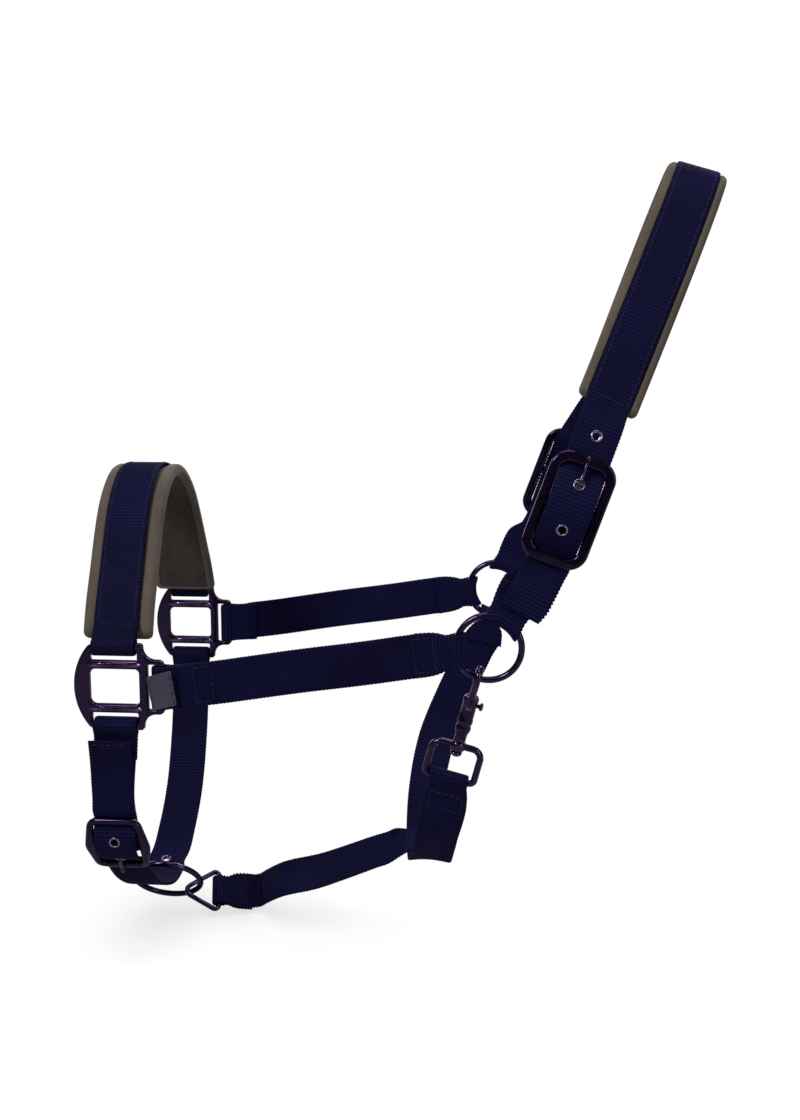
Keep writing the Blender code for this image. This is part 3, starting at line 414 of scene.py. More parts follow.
def flip(side):
    """A function that puts a near-side point or direction on the given side."""
    return lambda v: Vector((v[0], v[1] if side == NEAR else -v[1], v[2]))


def put_on(side, rows):
    turn = flip(side)
    return [[turn(p) for p in line] for line in rows]


def vectors(places):
    return [Vector(place) for place in places]


def outward(axis, out):
    """The axis or its opposite, whichever looks along out."""
    return axis if axis.dot(out) > 0 else -axis


def radial(degrees):
    """A direction in a side plane, measured from straight up towards the poll."""
    a = math.radians(degrees)
    return Vector((math.sin(a), 0.0, math.cos(a)))


def tangent(degrees):
    """The direction square to radial(degrees) in the same side plane."""
    return radial(degrees + 90.0)


# Strap paths


def smooth_path(points, steps=3):
    """Points along a Catmull-Rom curve through the given points."""
    ends = [points[0] * 2 - points[1], *points, points[-1] * 2 - points[-2]]
    path = []
    for i in range(1, len(ends) - 2):
        a, b, c, d = ends[i - 1 : i + 3]
        for k in range(steps):
            t = k / steps
            path.append(
                b + (c - a) * (t / 2) + (a * 2 - b * 5 + c * 4 - d) * (t * t / 2)
                + (b * 3 - a - c * 3 + d) * (t ** 3 / 2)
            )
    path.append(points[-1])
    return path


def row(centre, across, width=WEB_WIDTH):
    """One row of a strap: its left edge, centre and right edge."""
    return [centre - across * (width / 2), centre, centre + across * (width / 2)]


def blend_across(start, end, t):
    return (start * (1 - t) + end * t).normalized()


def turning_rows(points, across, steps, width=WEB_WIDTH):
    turns = smooth_path(across, steps)
    return [row(p, a.normalized(), width) for p, a in zip(smooth_path(points, steps), turns)]


LOOP_STEPS = 11
LOOP_MOUTH = 52.0  # degrees from a loop's pull to each end of its round part
FOLD_MEET = 3.2  # past the loop's radius, where a fold's two layers come together
SLOT_START = 2.3
SLOT_END = LOOP_STEPS + 2.7


def loop_rows(bar, across, pull, out, radius, flap, gather=1.0, curve_radius=0.0):
    """Rows from a sewn flap's end, round a bar and back to where the two layers meet."""
    rows = []

    def add(along, side, narrow, follow):
        reach = WEB_WIDTH / 2 * narrow
        bend = curve_radius - math.sqrt(curve_radius ** 2 - reach ** 2) if curve_radius else 0.0
        centre = bar + pull * along + out * side
        edge = centre - pull * (bend * follow)
        rows.append([edge - across * reach, centre, edge + across * reach])

    meet = radius + FOLD_MEET
    add(flap, -LAYER, 1.0, 0.0)
    add(meet + 3.0, -LAYER, (1 + gather) / 2, 0.4)
    add(meet - 0.4, -LAYER - 0.25, gather, 0.8)
    for k in range(LOOP_STEPS):
        angle = -math.radians(LOOP_MOUTH + (360.0 - 2 * LOOP_MOUTH) * k / (LOOP_STEPS - 1))
        add(radius * math.cos(angle), radius * math.sin(angle), gather, 1.0)
    add(meet - 0.4, LAYER + 0.25, gather, 0.8)
    add(meet + 3.0, LAYER, (1 + gather) / 2, 0.4)
    return rows


class Strap:
    """Webbing along coarse rows: resampled finely, ribbed, with rounded scalloped edges."""

    PER_RIB = 5
    COLUMNS = 23

    def __init__(self, rows):
        coarse = np.array([[tuple(p) for p in line] for line in rows])
        steps = np.linalg.norm(np.diff(coarse[:, 1], axis=0), axis=1)
        at = np.concatenate([[0.0], np.cumsum(steps)])
        self.row_at = at
        self.length = at[-1]
        count = int(self.length / RIB * self.PER_RIB)
        self.s = np.linspace(0.0, self.length, count + 1)
        u = np.linspace(-1.0, 1.0, self.COLUMNS)
        self.u = np.sign(u) * (1 - (1 - np.abs(u)) ** 1.25)
        left, centre, right = np.moveaxis(self.along(coarse, at, self.s), 1, 0)
        u = self.u[None, :, None]
        self.surface = (
            centre[:, None] * (1 - u * u) + left[:, None] * (u * u - u) / 2 + right[:, None] * (u * u + u) / 2
        )
        self.half = np.linalg.norm(right - left, axis=1) / 2
        run = np.gradient(self.surface, axis=0)
        side = np.gradient(self.surface, axis=1)
        normal = np.cross(run, side)
        self.normal = normal / np.linalg.norm(normal, axis=2, keepdims=True)
        self.side = side / np.linalg.norm(side, axis=2, keepdims=True)

    @staticmethod
    def along(coarse, at, s):
        """Smooth curves through the rows' columns, at distances s."""
        slope = np.diff(coarse, axis=0) / np.diff(at)[:, None, None]
        gap = np.diff(at)[:, None, None]
        inner = (slope[:-1] * gap[1:] + slope[1:] * gap[:-1]) / (gap[:-1] + gap[1:])
        tangent = np.concatenate([slope[:1], inner, slope[-1:]])
        i = np.clip(np.searchsorted(at, s, side="right") - 1, 0, len(at) - 2)
        h = (at[i + 1] - at[i])[:, None, None]
        t = ((s - at[i]) / (at[i + 1] - at[i]))[:, None, None]
        return (
            coarse[i] * (2 * t ** 3 - 3 * t ** 2 + 1)
            + tangent[i] * h * (t ** 3 - 2 * t ** 2 + t)
            + coarse[i + 1] * (3 * t ** 2 - 2 * t ** 3)
            + tangent[i + 1] * h * (t ** 3 - t ** 2)
        )

    def point(self, s, q, lift):
        """A point over the strap at distance s, q across, raised by lift on its front face."""
        i = min(int(round(s / self.length * (len(self.s) - 1))), len(self.s) - 1)
        u = q / self.half[i]
        j = np.interp(u, self.u, np.arange(len(self.u)))
        a = int(j)
        b = min(a + 1, len(self.u) - 1)
        f = j - a
        place = self.surface[i, a] * (1 - f) + self.surface[i, b] * f
        return place + self.normal[i, a] * lift

    def side_towards(self, direction, share=0.5):
        """1.0 where the front face, at that share of the length, looks along direction, else -1.0."""
        normal = Vector(self.normal[int(len(self.s) * share), self.COLUMNS // 2])
        return 1.0 if normal.dot(direction) > 0 else -1.0

    def gathered(self, spans):
        """How bunched the strap is at each s: 1 inside each (middle, reach) span, 0 away from them.

        A middle below zero is measured from the far end.
        """
        total = np.zeros_like(self.s)
        for at, reach in spans:
            away = np.abs(self.s - (at if at >= 0 else self.length + at))
            total = np.maximum(total, np.clip(1.4 - away / reach, 0, 1))
        return total

    def mesh(self, name, holes=(), slots=(), gathers=()):
        """The closed strap. holes are (centre, axis), slots are (first row, last row)."""
        phase = np.cos(math.tau * self.s / RIB)[:, None]
        edge = np.clip((np.abs(self.u) - EDGE_STARTS) / (1 - EDGE_STARTS), 0, 1)[None, :]
        bunched = self.gathered(gathers)[:, None]
        rib = RIB_HEIGHT + 0.1 * bunched
        end = np.clip(np.minimum(self.s, self.length - self.s) / 0.8, 0.35, 1)[:, None]
        thick = WEB / 2 * np.sqrt(1 - (0.82 * edge) ** 2) * end
        lift = thick + rib * phase * (1 - edge ** 2)
        reach = (phase * (0.14 + 0.26 * bunched) - 0.15) * np.abs(self.u)[None, :] ** 10
        grid = self.surface + self.side * (np.sign(self.u)[None, :] * reach)[..., None]
        front = grid + self.normal * lift[..., None]
        back = grid - self.normal * lift[..., None]
        rows, columns = lift.shape
        middle_of = (grid[:-1, :-1] + grid[1:, 1:]) / 2
        keep = np.ones((rows - 1, columns - 1), bool)
        for centre, axis in holes:
            away = middle_of - np.array(centre)
            depth = away @ np.array(axis)
            ring = np.linalg.norm(away - depth[..., None] * np.array(axis), axis=2)
            keep &= ~((ring < HOLE_RADIUS) & (np.abs(depth) < HOLE_DEPTH))
        number = np.interp(self.s, self.row_at, np.arange(len(self.row_at)))[:-1]
        across = (self.u[:-1] + self.u[1:]) / 2
        for first, last in slots:
            inside = ((number > first) & (number < last))[:, None]
            keep &= ~(inside & (np.abs(across)[None, :] * WEB_WIDTH / 2 < SLOT_HALF))
        index = np.arange(rows * columns).reshape(rows, columns)
        shift = rows * columns
        i, j = np.nonzero(keep)
        corners = [index[i, j], index[i, j + 1], index[i + 1, j + 1], index[i + 1, j]]
        faces = [np.stack(corners[::-1], 1), np.stack(corners, 1) + shift]
        padded = np.pad(keep, 1)
        for di, dj, a, b in ((0, -1, 0, 3), (0, 1, 2, 1), (-1, 0, 1, 0), (1, 0, 3, 2)):
            open_side = ~padded[i + 1 + di, j + 1 + dj]
            first, last = corners[a][open_side], corners[b][open_side]
            faces.append(np.stack([first, last, last + shift, first + shift], 1))
        faces = np.concatenate(faces)
        points = head_place(np.concatenate([front.reshape(-1, 3), back.reshape(-1, 3)]))
        used, faces = np.unique(faces, return_inverse=True)
        made = mesh_of(name, points[used], faces.reshape(-1, 4))
        flat = np.stack(np.broadcast_arrays(self.u[None, :] * self.half[:, None], self.s[:, None]), -1)
        place = np.concatenate([flat.reshape(-1, 2)] * 2)[used] * MM
        layer = made.uv_layers.new(name="strap")
        corner = np.empty(len(made.loops), np.int32)
        made.loops.foreach_get("vertex_index", corner)
        layer.data.foreach_set("uv", place[corner].astype(np.float32).ravel())
        return refined(made)


def webbing(name, rows, body, **details):
    """The strap along rows, shown as a piece."""
    strap = Strap(rows)
    piece(name, strap.mesh(name, **details), WEBBING, body, [name])
    return strap


# Stitching


STITCH = 2.9
STITCH_GAP = 0.9
STITCH_RADIUS = 0.27
SEAM_LIFT = WEB / 2 + 0.12
SEAM_LONG = 10.4  # a long seam from the middle of its strap
SEAM_SHORT = 9.5  # half the length of a seam across a strap
SKEW = (0.31, 0.77, 0.55)  # a direction that no stitch runs along


class Seams:
    """Sewn thread, gathered into one mesh for each body."""

    def __init__(self):
        self.points = {}

    def dash(self, body, start, end):
        self.points.setdefault(body, []).append((np.array(start), np.array(end)))

    def line(self, body, strap, start, end, lift):
        """Stitches on a strap between two (distance, across) places."""
        start, end = np.array(start, float), np.array(end, float)
        count = max(1, int(np.linalg.norm(end - start) / (STITCH + STITCH_GAP)))
        for k in range(count):
            a = start + (end - start) * (k / count)
            b = start + (end - start) * ((k + STITCH / (STITCH + STITCH_GAP)) / count)
            self.dash(body, strap.point(*a, lift), strap.point(*b, lift))

    def box(self, body, strap, first, last, half, sign):
        """A box of stitches across a folded end, on the front face or, with sign -1, the back."""
        lift = SEAM_LIFT * sign
        for s in (first, last):
            self.line(body, strap, (s, -half), (s, half), lift)
        for q in (-half, half):
            self.line(body, strap, (first, q), (last, q), lift)

    def rim(self, body, strap, first, last, beyond, sign):
        """Two long seams near a strap's edges, and a short one across it beyond each of their ends."""
        for q in (-SEAM_LONG, SEAM_LONG):
            self.line(body, strap, (first, q), (last, q), SEAM_LIFT * sign)
        for s in (first - beyond, last + beyond):
            self.line(body, strap, (s, -SEAM_SHORT), (s, SEAM_SHORT), SEAM_LIFT * sign)

    def build(self):
        """One capsule-like thread for each stitch."""
        sides = 6
        profile = ((0.0, 0.25), (0.14, 0.8), (0.5, 1.0), (0.86, 0.8), (1.0, 0.25))
        around = [math.tau * k / sides for k in range(sides)]
        last = (len(profile) - 1) * sides
        pattern = grid_faces(len(profile), sides)
        pattern += [tuple(reversed(range(sides))), tuple(range(last, last + sides))]
        for body, dashes in self.points.items():
            points = []
            faces = []
            for a, b in dashes:
                run = b - a
                first = np.cross(run, SKEW)
                first /= np.linalg.norm(first)
                second = np.cross(run / np.linalg.norm(run), first)
                faces += [[len(points) + i for i in face] for face in pattern]
                for t, r in profile:
                    for angle in around:
                        spoke = first * math.cos(angle) + second * math.sin(angle)
                        points.append(a + run * t + spoke * (STITCH_RADIUS * r))
            name = f"{body}_stitching"
            piece(name, mesh_of(name, head_place(points), faces), THREAD, body)


SEAMS = Seams()


# Hardware shapes


TO_ROW = Matrix.Translation(HEAD) @ Matrix.Scale(MM, 4)
SHARP = math.radians(50)  # edges bent more than this stay sharp
SHARP_TURNED = math.radians(40)
RING_STEPS = 96


def add_spline(curve, points, closed):
    spline = curve.splines.new("POLY")
    spline.points.add(len(points) - 1)
    for target, point in zip(spline.points, points):
        target.co = (*Vector(point).to_3d(), 1.0)
    spline.use_cyclic_u = closed


def curve_mesh(name, curve, to_head=Matrix()):
    """The welded mesh of a curve given in millimetres, put into the model's frame."""
    guide = add_object(name, curve)
    bpy.context.view_layer.update()
    graph = bpy.context.evaluated_depsgraph_get()
    mesh = bpy.data.meshes.new_from_object(guide.evaluated_get(graph))
    bpy.data.objects.remove(guide, do_unlink=True)
    bpy.data.curves.remove(curve)
    refined(mesh, weld).shade_smooth()
    mesh.transform(TO_ROW @ to_head)
    return mesh


def wire_mesh(name, points, radius, closed=False, resolution=5):
    curve = bpy.data.curves.new(name, "CURVE")
    curve.dimensions = "3D"
    curve.bevel_depth = radius
    curve.bevel_resolution = resolution
    curve.use_fill_caps = not closed
    add_spline(curve, points, closed)
    return curve_mesh(name, curve)


def rounded(corners, steps=10):
    """A closed outline through (x, y, radius) corners, with each corner an arc."""
    outline = []
    for i, (x, y, radius) in enumerate(corners):
        here = Vector((x, y))
        before = (Vector(corners[i - 1][:2]) - here).normalized()
        after = (Vector(corners[(i + 1) % len(corners)][:2]) - here).normalized()
        if radius == 0.0:
            outline.append(here)
            continue
        half = before.angle(after) / 2
        centre = here + (before + after).normalized() * (radius / math.sin(half))
        start = here + before * (radius / math.tan(half)) - centre
        end = here + after * (radius / math.tan(half)) - centre
        sweep = start.angle_signed(end)
        for k in range(steps + 1):
            outline.append(centre + Matrix.Rotation(-sweep * k / steps, 2) @ start)
    return outline


def rectangle(left, right, low, high, radii, steps=10):
    """A rectangle with its corners rounded by four radii, from the low left one round."""
    corners = ((left, low), (right, low), (right, high), (left, high))
    return rounded([(x, y, radius) for (x, y), radius in zip(corners, radii)], steps)


def mirrored(outline):
    return [Vector((p.x, -p.y)) for p in reversed(outline)]


def facing(at, x_axis, y_axis):
    """The matrix that puts a flat outline at a place with its x and y along two directions."""
    return Matrix.Translation(at) @ Matrix((x_axis, y_axis, x_axis.cross(y_axis))).transposed().to_4x4()


def plate_mesh(name, outlines, thickness, bevel, to_head):
    """A cast plate with rounded edges all round its outline and holes."""
    curve = bpy.data.curves.new(name, "CURVE")
    curve.dimensions = "2D"
    curve.fill_mode = "BOTH"
    curve.extrude = thickness / 2 - bevel
    curve.bevel_depth = bevel
    curve.bevel_resolution = 4
    curve.offset = -bevel
    for outline in outlines:
        add_spline(curve, outline, True)
    mesh = curve_mesh(name, curve, to_head)
    mesh.set_sharp_from_angle(angle=SHARP)
    return mesh


def turned_mesh(name, profile, centre, axis, steps):
    """A piece turned about axis through centre, from its (radius, height) profile."""
    mesh = bpy.data.meshes.new(name)
    shape = bmesh.new()
    verts = [shape.verts.new((r, 0.0, h)) for r, h in profile]
    for a, b in zip(verts, verts[1:] + verts[:1]):
        if a.co.x > 0 or b.co.x > 0:
            shape.edges.new((a, b))
    turning = axis.to_track_quat("Z", "Y").to_matrix().to_4x4()
    bmesh.ops.spin(
        shape, geom=shape.verts[:] + shape.edges[:], cent=(0, 0, 0), axis=(0, 0, 1), angle=math.tau,
        steps=steps, use_merge=True,
    )
    weld(shape)
    bmesh.ops.recalc_face_normals(shape, faces=shape.faces)
    bmesh.ops.transform(shape, matrix=TO_ROW @ Matrix.Translation(centre) @ turning, verts=shape.verts)
    shape.to_mesh(mesh)
    shape.free()
    mesh.shade_smooth()
    mesh.set_sharp_from_angle(angle=SHARP_TURNED)
    return mesh


def ring(name, centre, up, radius, body):
    turns = [math.tau * i / RING_STEPS for i in range(RING_STEPS)]
    points = [centre + ALONG * (radius * math.cos(a)) + up * (radius * math.sin(a)) for a in turns]
    hardware(name, wire_mesh(name, points, RING_WIRE, True), body)


def joined(name, meshes):
    """Several meshes as one."""
    shape = bmesh.new()
    for mesh in meshes:
        shape.from_mesh(mesh)
    made = bpy.data.meshes.new(name)
    shape.to_mesh(made)
    shape.free()
    made.shade_smooth()
    made.set_sharp_from_angle(angle=SHARP)
    return made


def eyelet(name, centre, axis, body):
    """A rolled eyelet: a torus-like lip on each face joined by its barrel."""
    bore = 2.2
    lip = 0.58
    rim = bore + lip
    under = WEB / 2 + 0.1
    turns = [math.radians(180 - 210 * k / 12) for k in range(13)]
    front = [(rim + lip * math.cos(a), under + 0.1 + lip * 0.75 * math.sin(a)) for a in turns]
    front.append((rim, under))
    profile = front + [(r, -h) for r, h in reversed(front)]
    return piece(name, turned_mesh(name, profile, centre, axis, 36), EYELET, body, [name])


# Noseband


def nose_line():
    near = []
    for half, height in NOSE_ARCH:
        t = height / 91.0
        near.append(Vector((SQUARE_X + (NOSE_TOP_X - SQUARE_X) * t, -half, height)))
    return near, [flip(FAR)(p) for p in reversed(near)]


def nose_webbing():
    bar = Vector((SQUARE_X + 0.15, -HALF_WIDTH, SQUARE_Z + FRONT_BAR))
    pull = Vector((0, 0.42, 0.91)).normalized()
    out = Vector((0, -0.91, 0.42)).normalized()
    near, far = nose_line()
    start = loop_rows(bar, ALONG, pull, out, BAR_LOOP, 12.0)
    body = [row(p, ALONG) for p in smooth_path(near + far, 2)]
    strap = webbing("nose_webbing", start + body + put_on(FAR, reversed(start)), "noseband")
    first = strap.row_at[len(start)] + 2.0
    SEAMS.rim("noseband", strap, first, strap.length - first, 4.0, strap.side_towards(out, 1 / 6))


def inward_normals(path, across):
    """Directions from an arch's points to the head."""
    normals = []
    for i in range(len(path)):
        run = path[min(i + 1, len(path) - 1)] - path[max(i - 1, 0)]
        normals.append(run.cross(across[i]).normalized())
    return normals if normals[len(path) // 2].z < 0 else [-n for n in normals]


def pad_profile(half):
    """A pad's closed section as (across, depth): flat under the webbing, with a proud rolled rim."""
    rim = [
        (12.0, PAD_NEAR_FACE), (13.1, 0.75), (half - 3.6, 0.05), (half - 1.6, 0.5), (half - 0.3, 1.9),
        (half, 3.8), (half - 0.4, 5.6), (half - 1.9, 6.9), (half - 3.8, 6.75),
        (half - 5.0, PAD_FAR_FACE - 0.1),
    ]
    inner = [(q, PAD_FAR_FACE) for q in (9.0, 6.0, 3.0, 0.0)]
    outer = [(q, PAD_NEAR_FACE) for q in (0.0, 4.0, 8.0)]
    right = outer + rim + inner[:-1]
    left = [(-q, w) for q, w in reversed(right) if q > 0]
    return np.array(right + [inner[-1]] + left)


def pad_sections(path, across, normals, half, spacing=2.4):
    """Sections of a pad every few millimetres along its path, drawn in at the two ends."""
    points = np.array([tuple(p) for p in path])
    at = np.concatenate([[0.0], np.cumsum(np.linalg.norm(np.diff(points, axis=0), axis=1))])
    count = int(at[-1] / spacing)
    depth = (PAD_NEAR_FACE + PAD_FAR_FACE) / 2
    height = PAD_FAR_FACE - depth
    stops = [0.0, 0.35, 1.1, 2.1, 3.2]
    places = stops + list(np.linspace(5.0, at[-1] - 5.0, count)) + [at[-1] - x for x in reversed(stops)]
    profile = pad_profile(half)
    sections = []
    for s in places:
        centre, side, inward = (
            np.array([np.interp(s, at, np.array([tuple(v) for v in column])[:, k]) for k in range(3)])
            for column in (path, across, normals)
        )
        end = min(s, at[-1] - s)
        inset = height * (1 - math.sqrt(1 - (1 - min(end / height, 1)) ** 2))
        q = profile[:, 0] * (half - inset) / half
        w = depth + (profile[:, 1] - depth) * max(0.04, (height - inset) / height)
        sections.append(centre + np.outer(q, side) + np.outer(w, inward))
    return np.array(sections), np.array(places), profile


def tube_mesh(name, sections):
    """A closed mesh through sections, with its two ends filled."""
    count, around = sections.shape[:2]
    last = (count - 1) * around
    caps = [tuple(range(around)), tuple(reversed(range(last, last + around)))]
    mesh = mesh_of(name, head_place(sections.reshape(-1, 3)), grid_faces(count, around) + caps)
    return refined(mesh, split_caps)


SIMULATED_FRAMES = 16
PUFF_CAP = 1.1 * MM


def puff(obj, pinned):
    """Inflate a pad as cloth with its sewn parts pinned, and keep the result within PUFF_CAP."""
    rest = np.array([v.co for v in obj.data.vertices])
    group = obj.vertex_groups.new(name="sewn")
    group.add([int(i) for i in np.nonzero(pinned)[0]], 1.0, "ADD")
    cloth = obj.modifiers.new("cloth", "CLOTH")
    cloth.settings.quality = 6
    cloth.settings.mass = 0.1
    cloth.settings.use_pressure = True
    cloth.settings.uniform_pressure_force = 3.0
    cloth.settings.shrink_min = -0.03
    cloth.settings.vertex_group_mass = group.name
    cloth.settings.effector_weights.gravity = 0.0
    cloth.collision_settings.use_collision = False
    cloth.point_cache.frame_end = SIMULATED_FRAMES
    scene = bpy.context.scene
    for f in range(1, SIMULATED_FRAMES + 1):
        scene.frame_set(f)
    graph = bpy.context.evaluated_depsgraph_get()
    moved = np.array([v.co for v in obj.evaluated_get(graph).data.vertices]) - rest
    size = np.linalg.norm(moved, axis=1, keepdims=True)
    moved *= PUFF_CAP * np.tanh(size / PUFF_CAP) / np.maximum(size, 1e-9)
    obj.modifiers.remove(cloth)
    obj.data.vertices.foreach_set("co", (rest + moved).astype(np.float32).ravel())
    obj.vertex_groups.remove(group)
    scene.frame_set(1)


def smooth_surface(obj, levels=1):
    smoothing = obj.modifiers.new("smooth", "SUBSURF")
    smoothing.levels = levels
    smoothing.render_levels = levels


def thicken(obj, thickness, levels=1):
    """Give a sheet of cloth its thickness, and smooth it."""
    solid = obj.modifiers.new("thickness", "SOLIDIFY")
    solid.thickness = thickness * MM
    solid.offset = 0.0
    smooth_surface(obj, levels)


def padding(name, path, across, normals, width, body):
    """A soft cushion, its bound rim and its bound ends."""
    half = width / 2
    sections, places, profile = pad_sections(path, across, normals, half)
    mesh = tube_mesh(name, sections)
    cushion = piece(name, mesh, CUSHION, body, [name])
    free = (profile[:, 1] > 6.9) & (np.abs(profile[:, 0]) < half - 5.5)
    ends = np.minimum(places, places[-1] - places) < PAD_SEWN_END
    pinned = ~(free[None, :] & ~ends[:, None])
    extra = len(mesh.vertices) - pinned.size
    puff(cushion, np.concatenate([pinned.ravel(), np.ones(extra, bool)]))
    smooth_surface(cushion)
    bind(f"{name}_binding", sections, places, profile, half, body)


def bind(name, sections, places, profile, half, body):
    """The lighter tape that wraps the pad's rim along both sides and over both ends."""
    middle_of = sections.mean(axis=1, keepdims=True)
    inner = (profile[:, 1] > 6.0) & (np.abs(profile[:, 0]) < half - 4.5)
    rim = (np.abs(profile[:, 0]) > TAPE_FROM) & ~inner
    run = np.gradient(sections, axis=0)
    around = np.roll(sections, -1, axis=1) - np.roll(sections, 1, axis=1)
    normal = np.cross(run, around)
    normal /= np.maximum(np.linalg.norm(normal, axis=2, keepdims=True), 1e-9)
    outward = np.sign(((sections - middle_of) * normal).sum(axis=2).mean())
    skin = sections + normal * outward * 0.22
    tape_end = np.minimum(places, places[-1] - places) < TAPE_END
    faces = grid_faces(
        *sections.shape[:2],
        keep=lambda i, j, k: (rim[j] and rim[k]) or (tape_end[i] and tape_end[i + 1]),
    )
    mesh = refined(mesh_of(name, head_place(skin.reshape(-1, 3)), faces), drop_loose)
    thicken(piece(name, mesh, BINDING, body), 0.55)


def nose_pad():
    near, far = nose_line()
    path = smooth_path([Vector((SQUARE_X, -85.6, 2.0)), *near, *far, Vector((SQUARE_X, 85.6, 2.0))], 2)
    across = [ALONG] * len(path)
    normals = inward_normals(path, across)
    centres = []
    for p, n in zip(path, normals):
        low = max(0.0, 1.0 - max(p.z, 0.0) / 20.0)
        centres.append(p + n * (2.6 * low) + ALONG * (1.2 * max(p.z, 0.0) / 91.0))
    padding("nose_pad", centres, across, normals, NOSE_PAD_WIDTH, "noseband")


def square(name, side):
    """A cast three-way square with a D-shaped front."""
    half = 25.0
    bulge = 9.8
    arc_radius = (half ** 2 + bulge ** 2) / (2 * bulge)
    arc_centre = -13.4 - bulge + arc_radius
    spread = math.asin((half - 1.5) / arc_radius)
    front = []
    for k in range(41):
        angle = spread - 2 * spread * k / 40
        front.append(Vector((arc_centre - arc_radius * math.cos(angle), arc_radius * math.sin(angle))))
    right = rounded([
        (0.0, -half, 0.0), (16.9, -half, 2.0), (16.9, -15.7, 7.0), (28.8, -15.7, 3.2),
        (28.8, 15.7, 3.2), (16.9, 15.7, 7.0), (16.9, half, 2.0), (0.0, half, 0.0),
    ])
    outer = front + [Vector((-12.0, -half))] + right + [Vector((-12.0, half))]
    window = rectangle(-14.0, 14.5, -10.2, 10.2, (3.5, 2.5, 2.5, 3.5))
    upper = rectangle(-13.2, 13.5, 15.1, 20.4, [0.83] * 4, 4)
    rear = rectangle(19.5, 24.5, -13.1, 13.1, [0.83] * 4, 4)
    at = Vector((SQUARE_X, side * HALF_WIDTH, SQUARE_Z))
    outlines = [outer, window, upper, mirrored(upper), rear]
    hardware(name, plate_mesh(name, outlines, 4.4, 1.1, facing(at, ALONG, UP)), "noseband")
    for end, z in (("lower", -12.65), ("upper", 12.65)):
        points = [at + UP * z + ALONG * x for x in np.linspace(-14.5, 16.0, 5)]
        bar = wire_mesh(f"{name}_bar", points, 2.45)
        piece(f"{name}_{end}_bar", bar, METAL, "noseband")


# Cheeks


def cheek_strap(name, side):
    square_bar = Vector((SQUARE_X + REAR_BAR, -HALF_WIDTH, SQUARE_Z))
    first_pull = Vector((0.995, 0, 0.06)).normalized()
    start = loop_rows(square_bar, UP, first_pull, -SIDE, BAR_LOOP, FLAP)
    ring_pull = radial(-98.0)
    ring_across = tangent(-98.0)
    ring_bar = radial(-97.3) * RING_RADIUS - SIDE * HALF_WIDTH
    end = loop_rows(ring_bar, ring_across, ring_pull, -SIDE, RING_LOOP, LONG_FLAP, 0.76, RING_RADIUS)
    path = smooth_path([Vector((x, -HALF_WIDTH - LAYER, z)) for x, z in CHEEK_LINE])
    last = len(path) - 1
    tall = Vector((-0.1, 0, 1))
    body = [row(p, blend_across(tall, ring_across, i / last)) for i, p in enumerate(path)]
    rows = put_on(side, start + body + end[::-1])
    strap = webbing(name, rows, "noseband", gathers=[(-30.0, 9.0)])
    sign = strap.side_towards(SIDE * side)
    first = strap.row_at[len(start)]
    SEAMS.box("noseband", strap, first + 2.0, first + 12.0, 9.8, sign)
    until = strap.row_at[len(start) + len(body)]
    SEAMS.box("noseband", strap, until - 13.0, until - 2.0, 9.6, sign)


def cheek_label():
    """A folded cloth tab sewn askew over the near cheek strap's fold, with a puckered hem."""
    lean = Vector((-0.16, 0, 0.987))
    run = Vector((0.966, 0, 0.26))
    centre = Vector((-182.0, 0, SQUARE_Z - 0.6))
    rows = 15
    columns = 13
    points = []
    for t in np.linspace(0.0, 1.0, rows):
        for q in np.linspace(-10.0, 10.0, columns):
            swell = 0.35 * math.sin(math.pi * t) * math.cos(math.pi * (q / 20.0))
            ripple = 0.12 * math.sin(q * 1.1) * abs(2 * t - 1) ** 3
            depth = HALF_WIDTH + BAR_LOOP + 2.0 + swell + ripple
            reach = 14.5 * (t - 0.5) + 0.15 * math.sin(q * 0.9)
            points.append(centre + run * reach + lean * q - SIDE * depth)
    mesh = mesh_of("cheek_label", head_place(points), grid_faces(rows, columns, False))
    thicken(piece("cheek_label", mesh, LABEL, "noseband", ["cheek_label"]), 0.8, 2)
    front = HALF_WIDTH + BAR_LOOP + 2.55
    for along in (-6.0, 6.0):
        for k in range(4):
            low = centre + run * along + lean * (-8.6 + 4.4 * k) - SIDE * front
            SEAMS.dash("noseband", low, low + lean * 2.9)


# Crown


class Crown:
    """Directions of a crown buckle on the near side: up the strap, across it and out from the head."""

    across = tangent(BUCKLE_TILT)
    up = (radial(BUCKLE_TILT) + SIDE * BUCKLE_LEAN).normalized()
    out = across.cross(up).normalized()
    at = Vector((BUCKLE_AT[0], -HALF_WIDTH, BUCKLE_AT[1]))

    @classmethod
    def point(cls, along, side):
        return cls.at + cls.up * along + cls.out * side


HANGER_ACROSS = tangent(HANGER_ANGLE)
BILLET = (
    (-62.0, 0.9), (-55.0, 0.8), (-49.0, 0.8), (-42.0, -1.2), (-36.0, -3.0), (-30.5, -3.3), (-24.5, -3.2),
    (-19.0, 0.4), (-14.5, 3.5), (-10.5, 5.0), (-6.5, 6.4), (0.0, 6.8), (6.0, 6.4), (10.5, 5.3), (14.5, 3.5),
    (18.5, 1.7), (24.5, -3.2), (30.5, -3.5), (37.0, -4.2), (42.0, -4.8), (47.0, -5.6),
)
EYELETS = ((42.0, -4.8), (14.5, 3.5), (-10.5, 5.0))


def crown_across(rise):
    return tangent(25.0 - 9.0 * rise)


def crown_arch():
    points = []
    for p in smooth_path([Vector((half, 0.0, rise)) for half, rise in CROWN_ARCH], 2):
        rise = p.z / CROWN_RISE
        along = CROWN_FOOT.lerp(CROWN_TOP, rise)
        points.append((Vector((along.x, -p.x, along.z)), crown_across(rise), rise))
    points.append((Vector((CROWN_TOP.x, -6.0, CROWN_TOP.z)), crown_across(1.0), 1.0))
    return points


def far_crown(p, twist):
    return flip(FAR)(p) + ALONG * (FAR_TWIST * twist)


